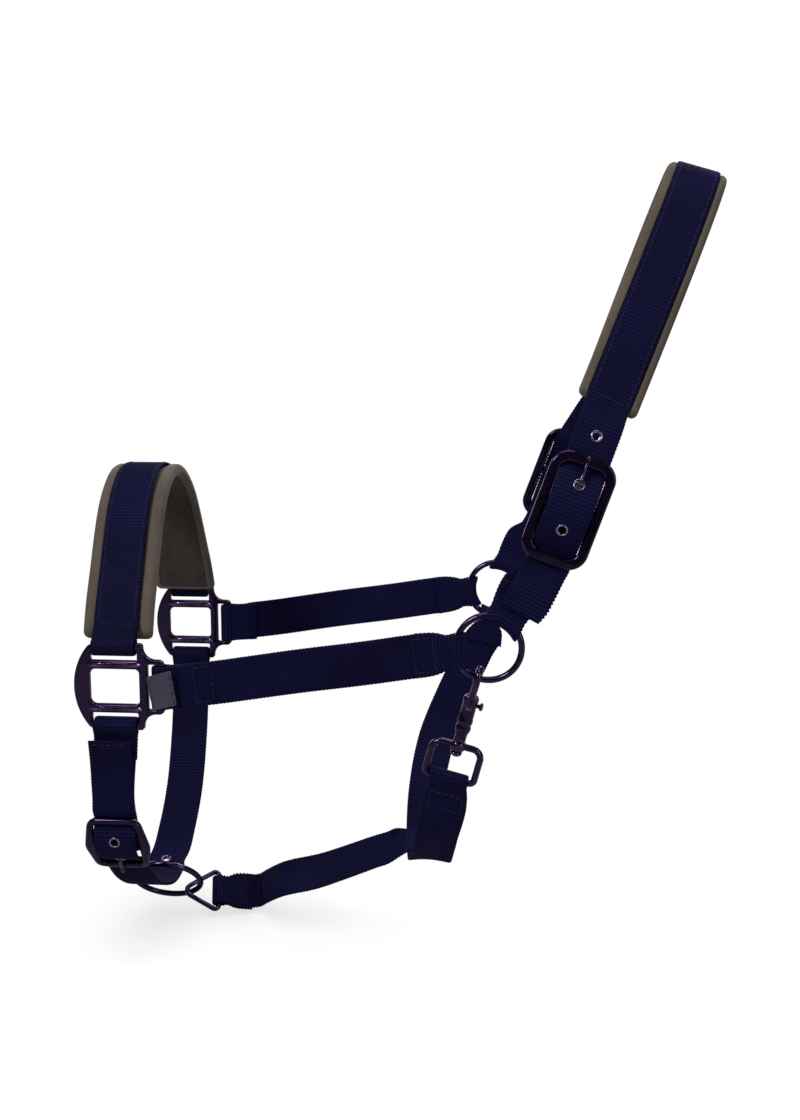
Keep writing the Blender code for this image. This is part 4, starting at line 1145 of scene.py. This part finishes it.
def billet_twist(along):
    return max(0.0, (along - 26.0) / 34.0)


def billet_axis(along):
    places = [a for a, _ in BILLET]
    i = min(range(len(places)), key=lambda k: abs(places[k] - along))
    run = Crown.point(*BILLET[i + 1]) - Crown.point(*BILLET[i - 1])
    return run.cross(Crown.across).normalized()


def billet_row(along, out):
    turned_by = max(0.0, -31.0 - along)
    centre = Crown.point(along, out) - Crown.across * (0.13 * turned_by)
    width = WEB_WIDTH - (3.0 if along == BILLET[0][0] else 0.0)
    return row(centre, blend_across(Crown.across, HANGER_ACROSS, turned_by / 40.0), width)


def eyelet_place(side, i):
    along, out = EYELETS[i]
    centre = Crown.point(along, out)
    if side == NEAR:
        return centre, billet_axis(along)
    return far_crown(centre, billet_twist(along)), flip(FAR)(billet_axis(along))


def crown_strap():
    near = [(billet_row(a, out), billet_twist(a)) for a, out in BILLET]
    near += [(row(p, across), 1.0 - rise) for p, across, rise in crown_arch()]
    rows = [line for line, _ in near]
    rows += [[far_crown(p, twist) for p in line] for line, twist in reversed(near)]
    holes = [eyelet_place(side, i) for side in SIDES.values() for i in range(len(EYELETS))]
    strap = webbing("crown_strap", rows, "crown", holes=holes, gathers=[(8.0, 12.0), (-8.0, 12.0)])
    first = strap.row_at[len(BILLET)] + 3.0
    SEAMS.rim("crown", strap, first, strap.length - first, 0.0, strap.side_towards(UP))


def crown_pad():
    near = crown_arch()
    path = [p for p, _, _ in near]
    across = [a for _, a, _ in near]
    path += [far_crown(p, 1.0 - rise) for p, _, rise in reversed(near)]
    across += across[::-1]
    normals = inward_normals(path, across)
    padding("crown_pad", path, across, normals, CROWN_PAD_WIDTH, "crown")


def drawn_in(rows, out, first, second, last):
    """A fold's rows, with its two first and its last drawn back against out."""
    for i, back in ((0, first), (1, second), (-1, last)):
        rows[i] = [p - out * back for p in rows[i]]
    return rows


def crown_hanger(name, side):
    top = loop_rows(Crown.at, Crown.across, -Crown.up, -Crown.out, CENTRE_LOOP, 18.5)
    drawn_in(top, Crown.out, 3.0, 1.0, 1.2)
    pull = radial(HANGER_ANGLE)
    bar = pull * RING_RADIUS - SIDE * HALF_WIDTH
    foot = loop_rows(bar, HANGER_ACROSS, pull, SIDE, RING_LOOP, FLAP, 0.86, RING_RADIUS)
    line = ((-19.0, -5.0), (-26.0, -5.7), (-34.0, -5.7))
    body = [row(Crown.point(*place), Crown.across) for place in line]
    body.append(row(bar + pull * 22.0 + SIDE * LAYER, blend_across(HANGER_ACROSS, Crown.across, 0.3)))
    rows = put_on(side, top + body + foot[::-1])
    webbing(name, rows, "crown", slots=[(SLOT_START, SLOT_END)], gathers=[(-26.0, 12.0)])


def crown_buckle(name, side):
    """A centre-bar frame with softly domed rails."""
    outer = rectangle(-18.5, 18.5, -31.0, 31.0, [11.0] * 4, 14)
    upper = rectangle(-12.75, 12.75, CENTRE_BAR, 25.0, (0.4, 0.4, 5.6, 5.6))
    to_head = facing(*map(flip(side), (Crown.at, Crown.across, Crown.up)))
    hardware(name, plate_mesh(name, [outer, upper, mirrored(upper)], FRAME_THICK, 1.5, to_head), "crown")


def tongue_points(at, run, out, hole, hole_axis, reach):
    """A tongue's path: round the centre bar, up through the billet's hole and on to the end bar."""
    points = []
    for k in range(11):
        angle = math.radians(75 + 250 * k / 10)
        points.append(at + run * (TONGUE_LOOP * math.cos(angle)) + out * (TONGUE_LOOP * math.sin(angle)))
    points += [hole - hole_axis * HOLE_RADIUS, hole + hole_axis * HOLE_RADIUS]
    points.append(at + run * (reach - 4.5) + out * (TONGUE_REST + 0.2))
    points.append(at + run * reach + out * TONGUE_REST)
    return points


def rounded_end(centre, direction, radius):
    """A ball that finishes a wire's cut end."""
    turns = np.linspace(math.pi / 2, -math.pi / 2, 13)
    profile = [(radius * math.cos(a), radius * math.sin(a)) for a in turns]
    profile[0] = (0.0, radius)
    profile[-1] = (0.0, -radius)
    return turned_mesh("end", profile, centre, direction, 20)


def tongue(name, points, body):
    path = smooth_path(points, 4)
    ends = [rounded_end(path[i], UP, TONGUE_WIRE * 1.02) for i in (-1, 0)]
    hardware(name, joined(name, [wire_mesh(name, path, TONGUE_WIRE)] + ends), body)


def crown_tongue(name, side):
    along, out = EYELETS[1]
    hole_axis = outward(billet_axis(along), Crown.out)
    points = tongue_points(Crown.at, Crown.up, Crown.out, Crown.point(along, out), hole_axis, 30.0)
    tongue(name, put_on(side, [points])[0], name.replace("_crown", ""))


# Chin


HANGER_PULL = Vector((0.10, -0.15, 0.98)).normalized()
HANGER_OUT = Vector((0.0, -0.98, -0.15)).normalized()
LOWER_BAR = Vector((SQUARE_X + 0.15, -HALF_WIDTH, SQUARE_Z - FRONT_BAR))
CHIN_EYELET = 17
CHIN_FREE_EYELET = 11
CHIN_SPARE = Vector((-213.5, 20.0, -172.5))
CHIN_RING_UP = Vector((0, -math.sin(math.radians(CHIN_RING_TILT)), math.cos(math.radians(CHIN_RING_TILT))))


def chin_point(along, out):
    return CHIN_AT + CHIN_UP * along + CHIN_OUT * out


def chin_hanger():
    top = loop_rows(LOWER_BAR, ALONG, -HANGER_PULL, HANGER_OUT, BAR_LOOP, LONG_FLAP)
    foot = loop_rows(CHIN_AT, ALONG, CHIN_UP, -CHIN_OUT, CENTRE_LOOP, 11.5)
    drawn_in(foot, CHIN_OUT, 1.9, 1.0, 1.4)
    behind = ((21.5, -5.7), (17.5, -5.5), (13.5, -4.6))
    rows = top + [row(chin_point(*place), ALONG) for place in behind] + foot[::-1]
    last = len(rows) - 1
    webbing("chin_hanger", rows, "noseband", slots=[(last - SLOT_END, last - SLOT_START)])


def chin_buckle():
    """A barrel-shaped centre-bar frame whose side rails bow out over the strap."""
    half_l = CHIN_BAR + 2.0
    end_w = 15.5
    barrel_w = 19.6
    outer = rounded([
        (-end_w, -half_l, 7), (end_w, -half_l, 7), (barrel_w, 0, 14),
        (end_w, half_l, 7), (-end_w, half_l, 7), (-barrel_w, 0, 14),
    ], 12)
    upper = rectangle(-12.8, 12.8, CENTRE_BAR, CHIN_BAR - 2.0, (0.4, 0.4, 3.6, 3.6), 8)
    to_head = facing(CHIN_AT, ALONG, CHIN_UP)
    mesh = plate_mesh("chin_buckle", [outer, upper, mirrored(upper)], FRAME_THICK, 1.5, to_head)
    for vert in mesh.vertices:
        away = (vert.co - HEAD) / MM - CHIN_AT
        rail = min(max((abs(away.x) - 11.4) / 2.4, 0.0), 1.0)
        arch = 1 - (away.dot(CHIN_UP) / half_l) ** 2
        vert.co += CHIN_OUT * (CHIN_RAIL_ARCH * rail * rail * (3 - 2 * rail) * arch * MM)
    hardware("chin_buckle", mesh, "noseband")


BILLET_FREE = ((51.0, 4.4), (44.0, 3.4), (34.0, 2.6), (20.0, 2.4), (8.0, 2.5))
BILLET_HELD = (
    (24.0, -3.4), (18.8, -3.3), (16.6, -2.9), (14.7, -1.0), (12.6, 1.4), (10.4, 3.62), (6.6, 5.0),
    (2.8, 6.38), (0.0, 6.75), (-3.0, 6.4), (-5.2, 5.6), (-7.2, 4.51), (-10.5, 2.2), (-13.8, -0.11),
    (-16.6, -2.9), (-CHIN_BAR, -3.3),
)
CHIN_CURVE = (
    (-215.5, -46.0, -156.5), (-213.5, -26.0, -169.5), (-212.5, -8.0, -175.5), (-212.5, 8.0, -176.0),
    (-212.5, 15.0, -174.6), CHIN_SPARE, (-212.5, 26.0, -170.0), (-212.0, 46.0, -158.0),
    (-211.0, 64.0, -137.0), (-210.7, 78.0, -108.0), (-210.5, 86.0, -78.0),
)


def chin_strap_line():
    """The strap's centre: its free end over the hanger, through the buckle and round to the far side."""
    hanger_low = chin_point(21.5, -5.7)
    hanger_high = LOWER_BAR - HANGER_PULL * 10.3 + HANGER_OUT * LAYER
    rise = (hanger_high - hanger_low).normalized()
    out = ALONG.cross(rise)
    free = [hanger_low + rise * a + out * o - ALONG * (0.045 * a) for a, o in BILLET_FREE]
    return free + [chin_point(a, o) for a, o in BILLET_HELD] + vectors(CHIN_CURVE)


def strap_axis(line, i):
    return (line[i + 1] - line[i - 1]).cross(ALONG).normalized()


def chin_strap():
    line = chin_strap_line()
    spare = line.index(CHIN_SPARE)
    rows = [row(p, ALONG) for p in line]
    pull = Vector((0, -0.12, -0.99)).normalized()
    out = Vector((0, -0.99, 0.12)).normalized()
    end = loop_rows(flip(FAR)(LOWER_BAR), ALONG, pull, out, BAR_LOOP, FLAP)
    places = [(line[i], strap_axis(line, i)) for i in (CHIN_EYELET, spare, CHIN_FREE_EYELET)]
    strap = webbing("chin_strap", rows + end[::-1], "noseband", holes=places)
    for i, place in enumerate(places):
        eyelet(f"chin_eyelet_{i + 1}", *place, "noseband")
    lift = SEAM_LIFT * strap.side_towards(-SIDE, 0.02)
    SEAMS.line("noseband", strap, (2.2, -10.0), (2.2, 10.0), lift)


def chin_tongue():
    line = chin_strap_line()
    hole_axis = outward(strap_axis(line, CHIN_EYELET), CHIN_OUT)
    points = tongue_points(CHIN_AT, -CHIN_UP, CHIN_OUT, line[CHIN_EYELET], hole_axis, CHIN_BAR + 2.7)
    tongue("chin_tongue", points, "chin_tongue")


# Jaw


def link_axes():
    yaw, pitch, roll = (math.radians(a) for a in (LINK_YAW, LINK_PITCH, LINK_ROLL))
    along = Vector((math.cos(yaw) * math.cos(pitch), math.sin(yaw) * math.cos(pitch), math.sin(pitch)))
    level = (UP - along * along.z).normalized()
    return along, level * math.cos(roll) + along.cross(level) * math.sin(roll)


def link_place():
    a = math.radians(LINK_CONTACT)
    along, _ = link_axes()
    held = CHIN_RING_AT + (ALONG * math.cos(a) + CHIN_RING_UP * math.sin(a)) * CHIN_RING_RADIUS
    apex = held - along * LINK_BACK
    return apex, apex + along * LINK_LENGTH


def jaw_link():
    apex, _ = link_place()
    along, wide = link_axes()
    outline = rounded([(0, 0, 4.0), (LINK_LENGTH, -LINK_HALF, 2.5), (LINK_LENGTH, LINK_HALF, 2.5)], 12)
    points = [apex + along * p.x + wide * p.y for p in outline]
    hardware("jaw_link", wire_mesh("jaw_link", points, LINK_WIRE, True), "jaw")


JAW_CURVE = (
    (-132.0, 4.0, -176.0), (-108.0, 1.0, -168.5), (-78.0, 0.0, -156.5), (-66.0, 0.0, -151.8),
    (-57.5, 1.0, -148.2), (-49.0, 1.0, -146.2), (-37.0, 1.0, -145.6),
)


def jaw_strap():
    _, base = link_place()
    along, wide = link_axes()
    out = outward(along.cross(wide).normalized(), -SIDE)
    start = loop_rows(base, wide, along, out, WRAP_LOOP, LONG_FLAP, 0.76)
    line = [base + along * 26.0 + out * LAYER] + vectors(JAW_CURVE)
    turned_up = Vector((0.2, 0.35, 0.9)).normalized()
    flat = [Vector((0.0, math.cos(a), math.sin(a))) for a in (0.55, 0.2, 0.0)]
    if wide.z < 0:
        turned_up = -turned_up
        flat = [-a for a in flat]
    across = [blend_across(wide, turned_up, t) for t in (0.0, 0.3, 0.6, 0.85, 1.0)]
    rows = start + turning_rows(line, across + flat, 3, JAW_WIDTH)
    strap = webbing("jaw_strap", rows, "jaw", gathers=[(38.0, 22.0)])
    first = strap.row_at[len(start)]
    SEAMS.box("jaw", strap, first + 1.0, first + 11.0, 9.0, strap.side_towards(-SIDE, 1 / 3))


# Throat and snap


EYE_WIDE = Vector((-SNAP_DOWN.z, 0, SNAP_DOWN.x)).normalized()
SNAP_FRONT = SNAP_DOWN.cross(EYE_WIDE).normalized()
RING_HOLD = radial(180.0 + SNAP_ANGLE) * RING_RADIUS - SIDE * HALF_WIDTH
SNAP_AT = RING_HOLD - SNAP_FRONT * HOOK_REACH


def snap_point(down, wide=0.0, front=0.0):
    return SNAP_AT + SNAP_DOWN * down + EYE_WIDE * wide + SNAP_FRONT * front


THROAT_CURVE = (
    (-15.0, 90.5, -46.0), (-27.0, 88.0, -72.0), (-38.5, 79.0, -101.0), (-44.0, 61.0, -129.0),
    (-43.5, 36.0, -147.0), (-41.0, 10.0, -152.0), (-38.5, -14.0, -150.5), (-34.5, -38.0, -141.0),
    (-30.0, -60.0, -120.0),
)


def throat_strap():
    ring_pull = radial(192.0)
    across = -tangent(192.0)
    bar = SIDE * HALF_WIDTH + ring_pull * RING_RADIUS
    start = loop_rows(bar, across, ring_pull, SIDE, RING_LOOP, FLAP, 0.56, RING_RADIUS)
    level = Vector((0.984, 0.0, 0.18))
    pull = Vector((-0.12, 0.30, -0.95)).normalized()
    out = outward(EYE_WIDE.cross(pull).normalized(), -SIDE)
    end = loop_rows(snap_point(EYE_BAR), EYE_WIDE, pull, out, WRAP_LOOP, FLAP, 0.9)
    turns = [across] * 3 + [level] * 4 + [EYE_WIDE] * 2
    body = turning_rows(vectors(THROAT_CURVE), turns, 2)
    strap = webbing("throat_strap", start + body + end[::-1], "throat")
    until = strap.row_at[len(start) + len(body)]
    SEAMS.box("throat", strap, until - 12.0, until - 1.0, 9.6, strap.side_towards(-SIDE, 0.85))


def snap_eye():
    """A D-shaped loop for the strap, with the swivel's boss on its arched top."""
    outline = rectangle(-SNAP_EYE_HALF, SNAP_EYE_HALF, EYE_TOP, EYE_BAR, (5.5, 5.5, 2.6, 2.6))
    loop = wire_mesh("eye_loop", [snap_point(p.y, p.x) for p in outline], SNAP_WIRE, True)
    upper = [(2.3, 2.0), (2.7, 2.4), (3.8, 2.4), (4.2, 1.9)]
    profile = upper + [(4.3, 0.0)] + [(r, -h) for r, h in reversed(upper)]
    boss = turned_mesh("boss", profile, snap_point(EYE_TOP), SNAP_DOWN, 32)
    hardware("snap_eye", joined("snap_eye", [loop, boss]), "throat")


def snap_body():
    """Barrel with cast bands, a hook over the cheek ring and a shank that turns in the eye."""
    barrel = [
        (2.3, 13.0), (3.9, 13.0), (4.4, 14.2), (4.4, 16.0), (4.1, 16.6), (4.1, 26.8), (4.4, 27.4),
        (4.4, 29.2), (4.0, 29.8), (4.0, 31.2), (4.4, 31.8), (4.4, 33.6), (3.7, 35.4), (3.4, 36.8),
        (3.4, 40.4), (1.8, 40.9), (1.8, 47.2), (3.0, 47.5), (3.4, 48.2), (3.2, 49.3), (2.2, 50.2),
        (0.0, 50.5), (0.0, 34.0), (2.3, 33.6),
    ]
    body = turned_mesh("barrel", [(r, -h) for r, h in barrel], SNAP_AT, -SNAP_DOWN, 40)
    back = HOOK_REACH + HOOK_BEND
    places = [(20.0, 2.8), (14.0, 3.6), (9.0, 6.0), (4.0, back - 0.4)]
    for k in range(9):
        angle = math.radians(180 * k / 8)
        places.append((-0.6 - HOOK_BEND * math.sin(angle), HOOK_REACH + HOOK_BEND * math.cos(angle)))
    places.append((3.7, 0.0))
    path = smooth_path([snap_point(down, 0.0, front) for down, front in places], 4)
    hook = wire_mesh("hook", path, HOOK_WIRE)
    tip = rounded_end(path[-1], SNAP_DOWN, HOOK_WIRE * 0.99)
    hardware("snap_body", joined("snap_body", [body, hook, tip]), "snap_body")


def snap_bolt():
    """The bolt that closes the hook, with the thumb knob on its side."""
    profile = [(0.0, 4.2), (1.2, 4.2), (1.5, 4.7), (1.5, 15.0), (2.0, 15.3), (2.0, 21.0), (0.0, 21.0)]
    bolt = turned_mesh("bolt", [(r, -h) for r, h in profile], SNAP_AT, -SNAP_DOWN, 28)
    profile = [
        (0.0, 7.7), (1.4, 7.6), (2.1, 7.2), (2.35, 6.6), (2.3, 6.0), (1.2, 5.4), (1.1, 0.6), (0.0, 0.6),
    ]
    knob = turned_mesh("knob", profile, snap_point(18.0), EYE_WIDE, 28)
    hardware("snap_bolt", joined("snap_bolt", [bolt, knob]), "snap_bolt")


def snap_spring():
    """The coil behind the bolt."""
    per_turn = 24
    steps = SPRING_TURNS * per_turn
    points = []
    for i in range(steps + 1):
        a = math.tau * i / per_turn
        down = SPRING_TOP + SPRING_LENGTH * i / steps
        points.append(snap_point(down, SPRING_RADIUS * math.cos(a), SPRING_RADIUS * math.sin(a)))
    mesh = wire_mesh("snap_spring", points, 0.26, False, 2)
    coil = piece("snap_spring", mesh, SPRING, "snap_body", ["snap_spring"])
    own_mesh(coil)


# Studio


CAMERA_AZIMUTH = 5.128
CAMERA_ELEVATION = 9.2
CAMERA_LENS = 44.68
CAMERA_PLACE = Vector((18.16, -835.96, 169.33))


def camera():
    data = bpy.data.cameras.new("camera")
    data.lens = CAMERA_LENS
    data.sensor_width = 36.0
    data.clip_start = 0.01
    obj = add_object("camera", data)
    azimuth = math.radians(CAMERA_AZIMUTH)
    elevation = math.radians(CAMERA_ELEVATION)
    level = math.cos(elevation)
    forward = Vector((-math.sin(azimuth) * level, math.cos(azimuth) * level, -math.sin(elevation)))
    obj.rotation_euler = forward.to_track_quat("-Z", "Y").to_euler()
    obj.location = HEAD + CAMERA_PLACE * MM
    bpy.context.scene.camera = obj


LIGHTS = (  # name, place from the halter's middle in metres, sides in metres, watts
    ("key", (-0.9, -1.3, 1.1), (0.45, 0.6), 16.0),
    ("fill", (1.3, -1.1, 0.5), (0.2, 1.1), 5.5),
    ("rim", (0.5, 1.4, 1.2), (0.8, 0.4), 11.0),
    ("back", (-1.1, 1.3, 0.4), (0.4, 0.9), 5.0),
    ("top", (0.0, -0.1, 1.6), (1.2, 1.2), 8.0),
)


def area_light(name, target, away, size, power):
    data = bpy.data.lights.new(name, "AREA")
    data.shape = "RECTANGLE"
    data.size, data.size_y = size
    data.energy = power
    obj = add_object(name, data)
    obj.location = target + Vector(away)
    obj.rotation_euler = (-Vector(away)).to_track_quat("-Z", "Y").to_euler()


WORLD_ON_OBJECT = 0.10
FLOOR_REACH = 8.0
FLOOR_GAP = 0.0015


def world():
    """White to the camera, softer to the object, so that the plating keeps its contrast."""
    made = bpy.data.worlds.new("studio")
    made.use_nodes = True
    tree = made.node_tree
    background = tree.nodes["Background"]
    path = tree.nodes.new("ShaderNodeLightPath")
    level = tree.nodes.new("ShaderNodeMapRange")
    level.inputs["To Min"].default_value = WORLD_ON_OBJECT
    level.inputs["To Max"].default_value = 1.0
    tree.links.new(path.outputs["Is Camera Ray"], level.inputs["Value"])
    tree.links.new(level.outputs["Result"], background.inputs["Strength"])
    background.inputs["Color"].default_value = (1.0, 1.0, 1.0, 1.0)
    bpy.context.scene.world = made


def floor():
    """A pale floor that stays white to the camera apart from the soft shade where the halter rests."""
    mesh = bpy.data.meshes.new("floor")
    z = CAD_BOX[0].z - FLOOR_GAP
    corners = [(x * FLOOR_REACH, y * FLOOR_REACH, z) for x, y in ((-1, -1), (1, -1), (1, 1), (-1, 1))]
    mesh.from_pydata(corners, [], [(0, 1, 2, 3)])
    m = Shader("floor")
    grain = m.noise(m.object_place(), 3.0, 2.0)
    m.look(Base_Color=m.mix(grain, rgb(0.36, 0.36, 0.37), rgb(0.42, 0.42, 0.43)), Roughness=0.9)
    shade = m.node("ShaderNodeAmbientOcclusion", {"samples": 8}, Distance=0.05).outputs["AO"]
    level = m.spread(shade, 0.45, 1.0, 0.72, 1.0)
    glow = m.node("ShaderNodeEmission", None, Strength=level).outputs[0]
    seen = m.node("ShaderNodeLightPath").outputs["Is Camera Ray"]
    both = m.ordered("ShaderNodeMixShader", (seen, m.surface.outputs[0], glow))
    m.feed(m.tree.nodes["Material Output"].inputs["Surface"], both)
    mesh.materials.append(m.material)
    add_object("floor", mesh)


def studio():
    centre = (CAD_BOX[0] + CAD_BOX[1]) / 2
    for name, away, size, power in LIGHTS:
        area_light(name, centre, away, size, power)
    world()
    floor()
    camera()
    bpy.context.scene.view_settings.view_transform = "Standard"


# The halter


nose_pad()
crown_pad()
nose_webbing()
for side_name, side in SIDES.items():
    square(f"{side_name}_square", side)
    cheek_strap(f"{side_name}_cheek_strap", side)
    ring(f"{side_name}_cheek_ring", SIDE * side * HALF_WIDTH, UP, RING_RADIUS, f"{side_name}_ring")
    crown_hanger(f"{side_name}_crown_hanger", side)
    crown_buckle(f"{side_name}_crown_buckle", side)
    crown_tongue(f"{side_name}_crown_tongue", side)
    for number in range(len(EYELETS)):
        eyelet(f"{side_name}_crown_eyelet_{number + 1}", *eyelet_place(side, number), "crown")
ring("chin_ring", CHIN_RING_AT, CHIN_RING_UP, CHIN_RING_RADIUS, "chin_ring")
for build in (
    cheek_label, crown_strap, chin_hanger, chin_buckle, chin_strap, chin_tongue, jaw_link,
    jaw_strap, throat_strap, snap_eye, snap_body, snap_bolt, snap_spring, SEAMS.build, studio,
):
    build()
